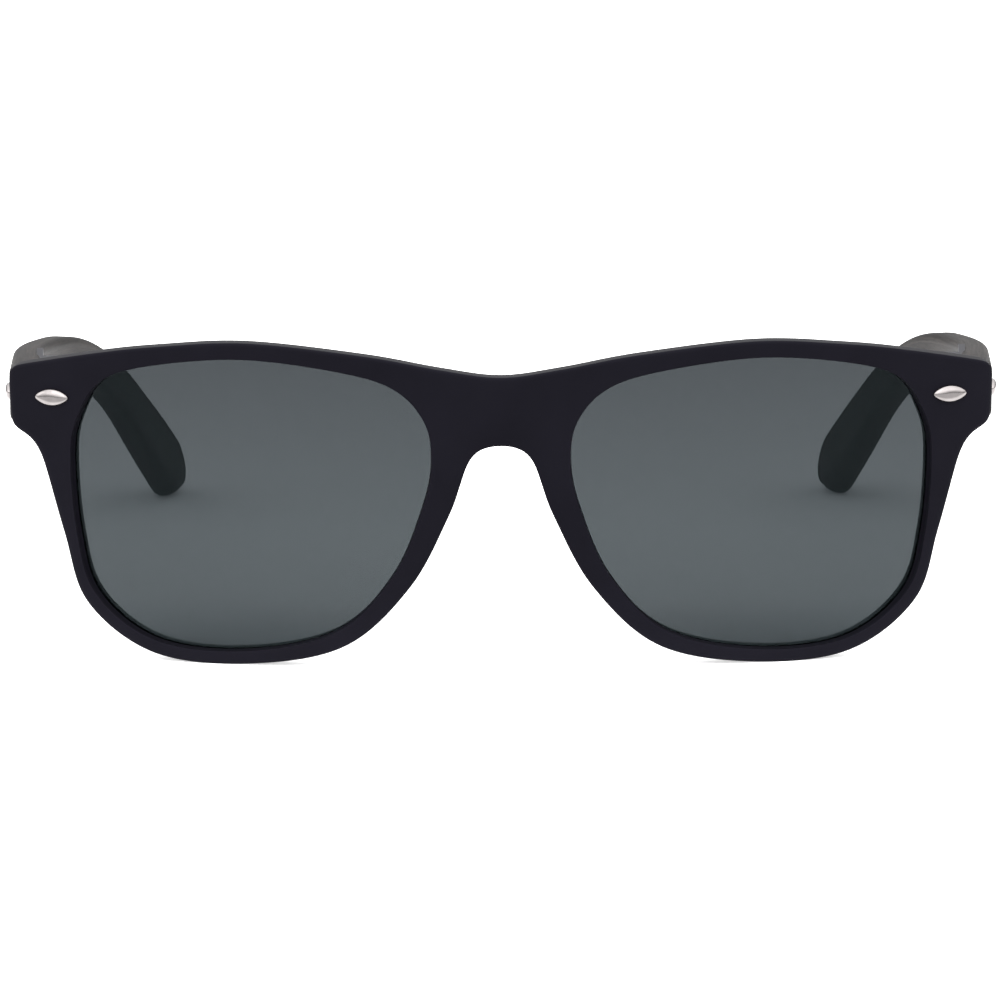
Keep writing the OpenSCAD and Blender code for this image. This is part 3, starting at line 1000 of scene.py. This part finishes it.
@dataclass(frozen=True)
class Front:
    """Moulded front with rims, bridge, end pieces and nose pads, all its edges rounded.

    Forms hold shares: dip_form of the bridge gap and the brow's drop, brow_form of the lens's width and the
    brow's drop, shoulder_form of the lens's width and the end's drop, neck_form of neck_in and neck_drop,
    and arch_form of the bridge gap and arch_drop.
    """

    rim_side: float = 2.4
    rim_nose: float = 3.3
    brow_drop: float = 4.7
    bridge_h: float = 10.1
    end_corner: float = 1.2
    neck_in: float = 5.4
    neck_drop: float = 5.6
    arch_drop: float = 5.9
    nose_flare: float = 1.0
    face_edge: float = 0.22
    face_edge_w: float = 0.8
    back_edge: float = 1.5
    opening_edge: float = 0.14
    opening_flare: float = 0.03
    top_lip: float = 0.30
    temple_flare: float = 0.38
    nose_side_flare: float = 0.27
    lower_flare: float = 0.12
    block_ramp: float = 1.3
    block_low: float = 3.2
    block_fade: float = 0.8
    leaf_left: float = 3.2
    leaf_stand: float = 0.12
    pad_l: float = 17.0
    pad_rise: float = 2.85
    pad_w: float = 3.7
    pad_lift: float = 1.5
    pad_fade: float = 1.6
    pad_points: tuple[int, int] = (9, 10)
    dip_form: Form = ((-0.42, 0.24), (0.0, 0.0), (0.42, 0.24))
    brow_form: Form = ((0.18, 0.34),)
    shoulder_form: Form = ((0.0, 0.0), (0.25, 0.2), (0.43, 0.5))
    neck_form: Form = ((0.1, -0.1), (0.37, 0.06), (0.63, 0.24), (0.83, 0.54), (1.0, 1.0))
    arch_form: Form = ((0.285, 1.0), (0.23, 0.44), (0.15, 0.11), (0.0, 0.0), (-0.15, 0.11))
    corner_meets: float = 80.0
    corner_lead: float = 2.0
    upper_turn: Span = (74.0, -3.0)
    lower_turn: Span = (-3.0, -66.0)
    lower_in: float = 1.25
    corner_steps: int = 10
    curve_steps: int = 24
    outline_step: float = 0.5
    outline_passes: int = 6
    face_spacing: float = 1.0
    edge_steps: int = 7
    edge_shares: Span = (0.33, 0.67)
    wall_shares: tuple[float, ...] = (0.35, 0.7, 1.0)

    @cached_property
    def brow_z(self) -> float:
        """Height of the top edge at the bridge."""
        return SIZES.top_z - self.brow_drop

    @property
    def rims(self) -> dict[int, float]:
        """Widths of the rim by the numbers of the lens form's points, from the temple round to the nose.

        Returns:
            Width at each number.
        """
        side, low, nose = self.rim_side, SIZES.rim_bottom, self.rim_nose
        return {
            15: side, 14: (side + low) / 2, 13: low, 12: low,
            11: (nose + low) / 2, 10: nose, 9: nose + self.nose_flare,
        }

    def top_edge(self) -> Points:
        """Top edge of the right-hand half, from the bridge to the end piece's corner.

        Returns:
            Points of the edge, one to a row.
        """
        gap, width, top, corner = SIZES.bridge_gap, SIZES.lens_w, SIZES.top_z, self.end_corner
        meets = math.radians(self.corner_meets)
        points = [(a * gap, self.brow_z + b * self.brow_drop) for a, b in self.dip_form]
        points += [(gap / 2 + a * width, top - b * self.brow_drop) for a, b in self.brow_form]
        points += [(SIZES.lens_x + a * width, top - b * SIZES.end_drop) for a, b in self.shoulder_form]
        inward, down = corner * (1 - math.cos(meets)), corner * (1 - math.sin(meets))
        points.append((SIZES.end_x - inward, SIZES.end_top - down))
        points.append((SIZES.end_x + self.corner_lead * corner, SIZES.end_top - corner))
        return curve_through(np.array(points), self.curve_steps, False)

    def end_edge(self) -> Points:
        """Both round corners of the right-hand end piece.

        Returns:
            Points of the corners, one to a row.
        """
        corner = self.end_corner
        upper = (SIZES.end_x - corner, SIZES.end_top - corner)
        lower = (SIZES.end_x - self.lower_in * corner, SIZES.end_low + corner)
        return np.vstack((
            arc(upper, corner, self.upper_turn, self.corner_steps),
            arc(lower, corner, self.lower_turn, self.corner_steps),
        ))

    def low_edge(self) -> Points:
        """Lower edge of the right-hand half, from the end piece round the rim to the arch over the nose.

        Returns:
            Points of the edge, one to a row.
        """
        arch_z = self.brow_z - self.bridge_h
        return curve_through(np.vstack((
            [(SIZES.end_x - a * self.neck_in, SIZES.end_low - b * self.neck_drop) for a, b in self.neck_form],
            [LENS_SHAPE.rim_point(number, width) for number, width in self.rims.items()],
            [(a * SIZES.bridge_gap, arch_z - b * self.arch_drop) for a, b in self.arch_form],
        )), self.curve_steps, False)

    @cached_property
    def outline(self) -> Points:
        """Outer edge of the whole front, anticlockwise.

        Returns:
            Points of the edge at even steps.
        """
        half = np.vstack((self.top_edge(), self.end_edge(), self.low_edge()))
        whole = np.vstack((half, half[-2:0:-1] * (-1.0, 1.0)))
        return softened(evenly_spaced(whole[::-1], self.outline_step), self.outline_passes)

    @cached_property
    def out(self) -> Points:
        """Outward directions at the outer edge's points."""
        return outward(self.outline)

    @cached_property
    def flare(self) -> Points:
        """Slant of the opening's wall in front of the lens: out at its sides and bottom, in at its top.

        Returns:
            Distance that each point of the opening's edge moves out.
        """
        right, up = LENS_SHAPE.out.T
        return (
            self.opening_flare
            - self.top_lip * np.clip(up, 0, 1) ** 2
            + self.temple_flare * np.clip(right, 0, 1) ** 2
            + self.nose_side_flare * np.clip(-right, 0, 1) ** 2
            + self.lower_flare * np.clip(-up, 0, 1) ** 2
        )

    def face_y(self, flat: Points) -> Points:
        """Depth of the face at some points of the outline's plane."""
        return SIZES.wrap_y(SIZES.wrap_r, flat[:, 0])

    def pad(self, flat: Points) -> Points:
        """Height of the nose pads over the back, full at the edge by the nose.

        Args:
            flat: Points of the outline's plane, one to a row.

        Returns:
            Height at each point.
        """
        upper, lower = (LENS_SHAPE.rim_point(number, self.rims[number]) for number in self.pad_points)
        along = (upper - lower) / np.linalg.norm(upper - lower)
        across = np.array((along[1], -along[0]))
        middle = (upper + lower) / 2 + (0.0, self.pad_lift)
        from_middle = np.column_stack((np.abs(flat[:, 0]), flat[:, 1])) - middle
        share = np.clip(1 - (from_middle @ along / (self.pad_l / 2)) ** 2, 0, 1) ** self.pad_fade
        return self.pad_rise * share * (1 - smooth_step((from_middle @ across) / self.pad_w))

    def back_y(self, flat: Points) -> Points:
        """Depth of the back, with the end blocks and the nose pads.

        Args:
            flat: Points of the outline's plane, one to a row.

        Returns:
            Depth at each point.
        """
        out, z = np.abs(flat[:, 0]), flat[:, 1]
        wrapped = SIZES.wrap_y(SIZES.back_r, out)
        start = SIZES.hinge.x - self.leaf_left - self.block_ramp
        block = smooth_step((out - start) / self.block_ramp)
        block *= smooth_step((z - SIZES.end_low + self.block_low) / self.block_low)
        block *= smooth_step((SIZES.block_top - z) / self.block_fade)
        seat = SIZES.end_back - self.leaf_stand
        return wrapped + block * (seat - wrapped) + self.pad(flat)

    def rounded(self, turn: float, width: float, rise: float, depth: Depth) -> Points:
        """Ring of a rounded outer edge.

        Args:
            turn: Turn over the edge in radians, from 0 at the wall to a right angle at the face or back.
            width: Width of the rounding on the face or back.
            rise: Depth of the rounding on the wall.
            depth: Depth of the face or back.

        Returns:
            Points of the ring, one to a row.
        """
        flat = self.outline - self.out * width * (1 - math.cos(turn))
        return upright(flat, depth(flat) + rise * (1 - math.sin(turn)))

    def edge_rows(self) -> list[Points]:
        """Rings round the outer edge, from the face over both rounded edges to the back.

        Returns:
            Points of each ring.
        """
        turns = quarter_turns(self.edge_steps)
        near = self.face_y(self.outline) + self.face_edge
        far = self.back_y(self.outline) - self.back_edge
        return [
            *(self.rounded(turn, self.face_edge_w, self.face_edge, self.face_y) for turn in turns[::-1]),
            *(upright(self.outline, near + share * (far - near)) for share in self.edge_shares),
            *(self.rounded(turn, self.back_edge, -self.back_edge, self.back_y) for turn in turns),
        ]

    def opening_rows(self) -> list[Points]:
        """Rings through the right-hand opening, from the face past the lens groove to the back.

        Returns:
            Points of each ring.
        """
        edge, flare, face = self.opening_edge, self.flare, SIZES.wrap_r
        front = SIZES.lens_front + SIZES.lens_gap
        back = SIZES.lens_front - SIZES.lens_t - SIZES.lens_gap
        groove = SIZES.groove_d + SIZES.lens_gap
        start = face - edge
        rows = []
        for turn in quarter_turns(self.edge_steps):
            rows.append((flare + edge * (1 - math.sin(turn)), face - edge * (1 - math.cos(turn))))
        for share in self.wall_shares:
            rows.append((flare * (1 - share), start + share * (front - start)))
        rows += [(groove, front), (groove, back), (0.0, back), (0.0, SIZES.back_r + edge)]
        for turn in quarter_turns(self.edge_steps):
            rows.append((edge * (1 - math.cos(turn)), SIZES.back_r + edge * (1 - math.sin(turn))))
        return [LENS_SHAPE.ring(grow, radius) for grow, radius in rows]

    def build(self) -> Object:
        """Builds the front, riding on its body.

        Returns:
            Object of the front.
        """
        draft = Draft("front_shell")
        edge = draft.skin(self.edge_rows())
        openings = []
        for side in Side:
            rows = [mirrored(row, side) for row in self.opening_rows()]
            last = flattened(rows[-1])
            rows[-1] = upright(last, self.back_y(last))
            openings.append(draft.skin(rows))
        for which, depth in ((0, self.face_y), (-1, self.back_y)):
            rings = [edge[which], *(opening[which] for opening in openings)]
            loops = [flattened(np.array([draft.vertices[i] for i in ring])) for ring in rings]
            points, triangles = filled(loops, self.face_spacing)
            added = points[sum(len(loop) for loop in loops):]
            draft.patch(rings, upright(added, depth(added)), triangles)
        return draft.fitted(SIZES.place, BLACK_PLASTIC, "front_frame", "front")


@dataclass(frozen=True)
class Lens:
    """One smoke lens, curved to the wrap and let into its groove."""

    side: Side
    edge: float = 0.15
    spacing: float = 1.6

    def build(self) -> Object:
        """Builds the lens, riding on the front.

        Returns:
            Object of the lens.
        """
        draft = Draft(f"tinted_lens_{self.side.label}")
        front = SIZES.lens_front
        back = front - SIZES.lens_t
        outer = SIZES.groove_d - SIZES.lens_gap
        inner = outer - self.edge
        profile = [(inner, front), (outer, front - self.edge), (outer, back + self.edge), (inner, back)]
        rings = draft.skin([mirrored(LENS_SHAPE.ring(grow, radius), self.side) for grow, radius in profile])
        flat = LENS_SHAPE.loop + LENS_SHAPE.out * inner
        points, triangles = filled([flat], self.spacing)
        for ring, radius in ((rings[0], front), (rings[-1], back)):
            added = mirrored(LENS_SHAPE.wrapped(points[len(flat):], radius), self.side)
            draft.patch([ring], added, triangles)
        return draft.fitted(SIZES.place, SMOKE_LENS, f"lens_{self.side.label}", "front")


@dataclass(frozen=True)
class Temple:
    """One wooden temple: waisted, bowed in and bent down behind the ear to a broad round tip."""

    side: Side
    thickness: float = 4.8
    height: float = 8.9
    waist_h: float = 7.0
    tip_h: float = 11.0
    length: float = 127.0
    waist_at: float = 80.0
    bend_at: float = 58.0
    bend_r: float = 73.3
    bend_angle: float = 32.3
    splay: float = 4.6
    curve_at: float = 31.0
    curve_r: float = 105.0
    curve_angle: float = 17.4
    proud: float = 0.4
    gap: float = 0.3
    sink: float = 0.8
    knuckle_room: float = 0.5
    knuckle_reach: float = 3.6
    edge: float = 1.4
    edge_share: float = 0.45
    tip_under: float = 3.5
    under_share: float = 0.5
    under_depth: float = 0.72
    tip_round: float = 0.9
    tip_reach: float = 0.985
    end_edge: float = 0.4
    square_end: float = 3.6
    station: float = 1.1
    end_rings: int = 6
    tip_rings: int = 22
    corner_steps: int = 8
    grain_apart: float = 40.0

    @property
    def start(self) -> Vector:
        """Middle of the outer face at the hinge end."""
        return Vector((SIZES.end_x + self.proud, SIZES.end_back + self.gap, SIZES.hinge.z - self.sink))

    @property
    def lead(self) -> float:
        """Heading of the straight stretch at the hinge, seen from above, in radians."""
        return math.radians(self.splay)

    @property
    def tip_r(self) -> float:
        """Radius of the round tip."""
        return self.tip_h / 2

    @property
    def tip_at(self) -> float:
        """Distance along the temple to the middle of its tip."""
        return self.length - self.tip_r

    @property
    def bend_end(self) -> float:
        """Distance along the temple to the end of its bend."""
        return self.bend_at + self.bend_r * math.radians(self.bend_angle)

    @property
    def curve_end(self) -> float:
        """Distance along the temple to the end of its bow."""
        return self.curve_at + self.curve_r * math.radians(self.curve_angle)

    def turned(self, s: float) -> float:
        """Turn of the bend at a distance along the temple, in radians."""
        return min(max(s - self.bend_at, 0.0) / self.bend_r, math.radians(self.bend_angle))

    def bend(self, s: float) -> Vector:
        """Point of the middle line in its own side view, level at the hinge.

        Args:
            s: Distance along the temple.

        Returns:
            Distance back, and up.
        """
        turn, rest = self.turned(s), max(s - self.bend_end, 0.0)
        back = min(s, self.bend_at) + self.bend_r * math.sin(turn) + rest * math.cos(turn)
        return Vector((back, -self.bend_r * (1 - math.cos(turn)) - rest * math.sin(turn)))

    @cached_property
    def slope(self) -> float:
        """Slope that brings the tip down to the ground.

        Returns:
            Slope in radians.
        """
        tip = self.bend(self.tip_at)
        ground = -SIZES.place.translation.z / MM
        return math.atan2(tip.y, tip.x) + math.asin((self.start.z - ground - self.tip_r) / tip.length)

    def yaw(self, s: float) -> float:
        """Heading at a distance along the temple, seen from above, in radians."""
        return self.lead - min(max(s - self.curve_at, 0.0) / self.curve_r, math.radians(self.curve_angle))

    def middle(self, s: float) -> Vector:
        """Middle of the outer face.

        Args:
            s: Distance along the temple.

        Returns:
            Place on the right-hand temple.
        """
        back, up = self.bend(s)
        out = min(s, self.curve_at) * math.tan(self.lead)
        out += self.curve_r * (math.cos(self.yaw(s)) - math.cos(self.lead))
        out += max(s - self.curve_end, 0.0) * math.sin(self.yaw(s))
        cos, sin = math.cos(self.slope), math.sin(self.slope)
        return self.start + Vector((out, back * cos + up * sin, up * cos - back * sin))

    def height_at(self, s: float) -> float:
        """Height of the temple, which narrows to the waist, widens and ends round.

        Args:
            s: Distance along the temple.

        Returns:
            Height there.
        """
        if s > self.tip_at:
            return 2 * math.sqrt(max(self.tip_r**2 - (s - self.tip_at) ** 2, 0.0))
        if s > self.waist_at:
            share = smooth_step((s - self.waist_at) / (self.tip_at - self.waist_at))
            return self.waist_h + (self.tip_h - self.waist_h) * float(share)
        return self.height + (self.waist_h - self.height) * float(smooth_step(s / self.waist_at))

    def section(self, s: float) -> Points:
        """Rounded section of the temple.

        Args:
            s: Distance along the temple.

        Returns:
            Points of the section: in from the outer face, and up.
        """
        height, inset = self.height_at(s), 0.0
        if s < self.end_edge:
            near = 1 - s / self.end_edge
            inset = self.end_edge * (1 - math.sqrt(1 - near**2))
            height -= 2 * inset
        elif s > self.length - self.tip_round:
            near = 1 - (self.length - s) / self.tip_round
            inset = self.tip_round * (1 - math.sqrt(1 - near**2))
        room = self.knuckle_room * float(1 - smooth_step((s - self.knuckle_reach) / self.end_edge))
        thick = self.thickness - 2 * inset - room
        tip = float(smooth_step((s - self.bend_end) / (self.tip_at - self.bend_end)))
        edge = min(self.edge, self.edge_share * height, self.edge_share * thick)
        fuller = edge + tip * (self.tip_under - edge)
        under = min(fuller, self.under_share * height, self.under_depth * thick)
        low = min(edge, thick - under)
        corners = [
            (edge, edge, height / 2 - edge, 180), (edge, thick - edge, height / 2 - edge, 90),
            (under, thick - under, under - height / 2, 0), (low, low, low - height / 2, -90),
        ]
        rows = [arc((x, z), radius, (turn, turn - 90), self.corner_steps) for radius, x, z, turn in corners]
        return np.vstack(rows) + (inset, 0.0)

    def stations(self) -> Points:
        """Distances along the temple at which it has a ring.

        Returns:
            Distances in order.
        """
        end = self.end_edge * (1 - np.cos(quarter_turns(self.end_rings)))
        body = np.linspace(self.end_edge, self.tip_at, int(self.tip_at / self.station))
        tip = self.tip_at + self.tip_r * np.sin(quarter_turns(self.tip_rings)[1:] * self.tip_reach)
        return np.concatenate((end, body[1:], tip))

    def build(self) -> Object:
        """Builds the temple, riding on its arm, with its grain marked along it.

        Returns:
            Object of the temple.
        """
        label = self.side.label
        draft = Draft(f"wooden_temple_{label}")
        rows, grain = [], []
        for s in self.stations():
            square = min(s / self.square_end, 1.0)
            turn = square * (self.slope + self.turned(s))
            yaw = square * self.yaw(s)
            inward = np.array((-math.cos(yaw), math.sin(yaw), 0.0))
            up = np.array((0.0, math.sin(turn), math.cos(turn)))
            flat = self.section(s)
            rows.append(np.array(self.middle(s)) + flat[:, :1] * inward + flat[:, 1:] * up)
            grain.append(np.column_stack((np.full(len(flat), s), flat)))
        rings = draft.skin([mirrored(row, self.side) for row in rows])
        for ring, row in ((rings[0], grain[0]), (rings[-1], grain[-1])):
            draft.fan(ring)
            grain.append(row.mean(axis=0)[None, :])
        marks = (np.vstack(grain) + (0.0, 0.0, self.grain_apart * self.side.value)) * MM
        return draft.fitted(SIZES.place, DARK_WOOD, f"temple_{label}", f"{label}_arm", {"grain": marks})


@dataclass(frozen=True)
class Stud:
    """Polished pointed-oval stud with a crowned face."""

    length: float = 5.75
    height: float = 2.6
    rise: float = 0.85
    wall: float = 0.14
    stand: float = 0.02
    front_in: float = 0.95
    temple_back: float = 6.0
    outline_points: int = 40
    outline_passes: int = 14
    crown_rings: int = 12

    def outline(self) -> Points:
        """Pointed oval between two round sides, with its tips a little blunt.

        Returns:
            Points of the oval, one to a row.
        """
        radius = (self.length**2 + self.height**2) / (4 * self.height)
        half_turn = math.asin(self.length / 2 / radius)
        turn = np.linspace(-half_turn, half_turn, self.outline_points + 1)[:-1]
        upper = np.column_stack((-radius * np.sin(turn), radius * np.cos(turn) - radius + self.height / 2))
        return softened(np.vstack((upper, -upper)), self.outline_passes)

    def draft(self, name: str) -> Draft:
        """Draws one stud, standing towards -Y on its seat.

        Args:
            name: Name of the piece.

        Returns:
            Mesh of the stud.
        """
        draft = Draft(name)
        outline = self.outline()
        rows = [(1.0, 0.0), (1.0, self.wall)]
        for turn in quarter_turns(self.crown_rings)[1:-1]:
            rows.append((math.cos(turn), self.wall + (self.rise - self.wall) * math.sin(turn)))
        rings = draft.skin([upright(share * outline, np.full(len(outline), -rise)) for share, rise in rows])
        draft.fan(rings[0])
        draft.fan(rings[-1])
        x, _, z = draft.vertices[-1]
        draft.vertices[-1] = (x, -self.rise, z)
        return draft

    def on_front(self, side: Side) -> Object:
        """Builds the stud on an end piece's face.

        Args:
            side: Side of the end piece.

        Returns:
            Object of the stud.
        """
        angle = math.asin((SIZES.hinge.x - self.front_in) / SIZES.wrap_r)
        out = SIZES.wrap_r + self.stand
        x, y = side.value * out * math.sin(angle), SIZES.wrap_r - out * math.cos(angle)
        seat = Matrix.Translation(Vector((x, y, SIZES.hinge.z)) * MM)
        place = SIZES.place @ seat @ Matrix.Rotation(side.value * angle, 4, "Z")
        draft = self.draft(f"polished_stud_front_{side.label}")
        return draft.fitted(place, NICKEL, f"front_stud_{side.label}", "front")

    def on_temple(self, temple: Temple) -> Object:
        """Builds the stud on a temple's outer face.

        Args:
            temple: Temple that holds the stud.

        Returns:
            Object of the stud.
        """
        side, start, hinge = temple.side, temple.start, SIZES.hinge
        cos, sin = math.cos(temple.lead), math.sin(temple.lead)
        out = (start.x - hinge.x) * cos - (start.y - hinge.y) * sin + self.stand
        reach = self.temple_back + start.y - hinge.y
        seat = Vector((
            side.value * (hinge.x + out * cos + reach * sin),
            hinge.y + reach * cos - out * sin,
            start.z - self.temple_back * math.sin(temple.slope),
        ))
        turn = Matrix.Rotation(side.value * (RIGHT_ANGLE - temple.lead), 4, "Z")
        tilt = Matrix.Rotation(side.value * temple.slope, 4, "Y")
        place = SIZES.place @ Matrix.Translation(seat * MM) @ turn @ tilt
        draft = self.draft(f"polished_stud_temple_{side.label}")
        return draft.fitted(place, NICKEL, f"temple_stud_{side.label}", f"{side.label}_arm")


@dataclass(frozen=True)
class Coil:
    """Coil spring round one hinge's pull rod."""

    temple: Temple
    radius: float = 0.82
    wire: float = 0.14
    turns: int = 8
    length: float = 6.0
    front: float = 3.35
    travel: float = 1.2
    turn_steps: int = 20
    wire_steps: int = 8

    def rows(self) -> list[Points]:
        """Rings of the wire along its turns, with the hinge axis as their zero and the rod along +Y.

        Returns:
            Points of each ring.
        """
        count = self.turns * self.turn_steps
        round_wire = FULL_TURN * np.arange(self.wire_steps)[:, None] / self.wire_steps
        rod = np.array((0.0, 1.0, 0.0))
        rows = []
        for k in range(count + 1):
            turn = FULL_TURN * k / self.turn_steps
            out = np.array((math.cos(turn), 0.0, math.sin(turn)))
            along = self.front + self.wire + (self.length - 2 * self.wire) * k / count
            middle = self.radius * out + along * rod
            rows.append(middle + self.wire * (np.cos(round_wire) * out + np.sin(round_wire) * rod))
        return rows

    def build(self) -> Object:
        """Builds the coil, riding on the slider.

        Returns:
            Object of the coil.
        """
        side = self.temple.side
        draft = Draft(f"coil_spring_{side.label}")
        rings = draft.skin([mirrored(row, side) for row in self.rows()])
        draft.fan(rings[0])
        draft.fan(rings[-1])
        seat = Vector((side.value * SIZES.hinge.x, SIZES.hinge.y, SIZES.hinge.z))
        lean = Matrix.Rotation(-side.value * self.temple.lead, 4, "Z")
        place = SIZES.place @ Matrix.Translation(seat * MM) @ lean
        piece = draft.fitted(place, HINGE_STEEL, f"hinge_spring_{side.label}", f"{side.label}_slider")
        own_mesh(piece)
        return piece


@dataclass(frozen=True)
class Hinge:
    """Other steel pieces of one spring hinge, which keep their solids and get their finish."""

    side: Side
    kinds: tuple[str, ...] = (
        "front_hinge", "hinge_screw", "hinge_slider", "slider_collar", "hinge_housing", "housing_screws",
    )

    def dress(self) -> list[Object]:
        """Gives each piece of the hinge its finish.

        Returns:
            Objects of the pieces.
        """
        pieces = [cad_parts[f"{kind}_{self.side.label}"] for kind in self.kinds]
        for piece in pieces:
            HINGE_STEEL.dress(piece)
            piece.data.set_sharp_from_angle(angle=SHARP_ANGLE)
        return pieces


@dataclass(frozen=True)
class Softbox:
    """One soft studio light, aimed at the part."""

    name: str
    place: tuple[float, float, float]
    width: float
    height: float
    power: float
    aim: tuple[float, float, float] = (0.0, 0.0, 0.02)

    def build(self) -> Object:
        """Builds the light.

        Returns:
            Object of the light.
        """
        light = bpy.data.lights.new(self.name, "AREA")
        light.shape = "RECTANGLE"
        light.size, light.size_y = self.width, self.height
        light.energy = self.power
        made = bpy.data.objects.new(self.name, light)
        made.location = self.place
        towards = Vector(self.aim) - Vector(self.place)
        made.rotation_euler = towards.to_track_quat("-Z", "Y").to_euler()
        bpy.context.scene.collection.objects.link(made)
        return made


@dataclass(frozen=True)
class Studio:
    """White floor, soft light and the camera at the photo's angle. Angles are in degrees."""

    distance: float = 0.8
    elevation: float = 11.5165
    yaw: float = -0.069
    roll: float = 0.2566
    target: tuple[float, float, float] = (-0.00025, 0.0020, 0.01117)
    focal_pixels: float = 4977.3
    image_width: float = 1000.0
    sensor: float = 36.0
    clip: Span = (0.01, 30.0)
    floor_half: float = 4.0
    horizon: float = 0.45
    sky: float = 2.50
    sky_rise: float = 0.50
    sky_tone: Colour = (1.0, 1.0, 1.0)
    front_share: float = 1.40
    back_share: float = 0.65
    lights: tuple[Softbox, ...] = (
        Softbox("overhead", place=(0.0, 0.15, 0.9), width=1.2, height=0.9, power=1.2),
        Softbox("front_key", place=(-0.2, -0.75, 0.95), width=0.9, height=0.7, power=1.6),
        Softbox("left_side", place=(-0.9, -0.1, 0.35), width=0.5, height=0.6, power=0.8),
    )

    def floor(self) -> Object:
        """Builds the floor, which is no part of the object.

        Returns:
            Object of the floor.
        """
        half = self.floor_half / MM
        draft = Draft("studio_floor")
        square = np.array([(-half, -half, 0.0), (half, -half, 0.0), (half, half, 0.0), (-half, half, 0.0)])
        draft.faces.append(tuple(draft.ring(square)))
        piece = draft.piece(Matrix.Identity(4))
        FLOOR_FINISH.dress(piece)
        return piece

    def light(self) -> None:
        """Lights the world, brighter in front of the part than behind it, and adds the softboxes."""
        world = bpy.data.worlds.new("studio")
        world.use_nodes = True
        background = world.node_tree.nodes["Background"]
        nodes = NodeTree(world.node_tree)
        towards = nodes.add("ShaderNodeTexCoord").outputs["Generated"]
        rise = nodes.spread(
            nodes.part(towards, "Z"), (self.horizon, self.sky), (0.0, self.sky_rise), smooth=True
        )
        depth = nodes.spread(nodes.part(towards, "Y"), (self.front_share, self.back_share), (-1.0, 1.0))
        nodes.feed(background, Strength=nodes.product(rise, depth))
        nodes.put(background, Color=opaque(self.sky_tone))
        bpy.context.scene.world = world
        for softbox in self.lights:
            softbox.build()

    def camera(self) -> Object:
        """Sets up the camera.

        Returns:
            Object of the camera.
        """
        rise, turn, roll = (math.radians(angle) for angle in (self.elevation, self.yaw, self.roll))
        ahead = Vector((math.sin(turn) * math.cos(rise), math.cos(turn) * math.cos(rise), -math.sin(rise)))
        level = Vector((math.cos(turn), -math.sin(turn), 0.0))
        upright_axis = level.cross(ahead)
        right = level * math.cos(roll) - upright_axis * math.sin(roll)
        up = level * math.sin(roll) + upright_axis * math.cos(roll)
        data = bpy.data.cameras.new("photo_camera")
        data.sensor_width = self.sensor
        data.lens = self.focal_pixels / self.image_width * self.sensor
        data.clip_start, data.clip_end = self.clip
        made = bpy.data.objects.new("photo_camera", data)
        place = Matrix((right, up, -ahead)).transposed().to_4x4()
        place.translation = Vector(self.target) - ahead * self.distance
        made.matrix_world = place
        bpy.context.scene.collection.objects.link(made)
        bpy.context.scene.camera = made
        return made

    def build(self) -> None:
        """Builds the whole studio."""
        self.floor()
        self.light()
        self.camera()
        bpy.context.scene.view_settings.view_transform = "Standard"


def corners(box: tuple[Vector, Vector]) -> list[list[float]]:
    """Both corners of a box as plain lists."""
    return [list(corner) for corner in box]


def main() -> None:
    """Builds the studio and every piece in order."""
    logging.basicConfig(level=logging.INFO, format="%(name)s: %(message)s")
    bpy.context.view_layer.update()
    Studio().build()
    stud = Stud()
    made = [Front().build()]
    for side in Side:
        temple = Temple(side)
        made += [Lens(side).build(), temple.build(), stud.on_front(side), stud.on_temple(temple)]
        made += [Coil(temple).build(), *Hinge(side).dress()]
    for piece in made:
        log.info("%s: %d faces", piece.name, len(piece.data.polygons))


if __name__ == "__main__":
    main()
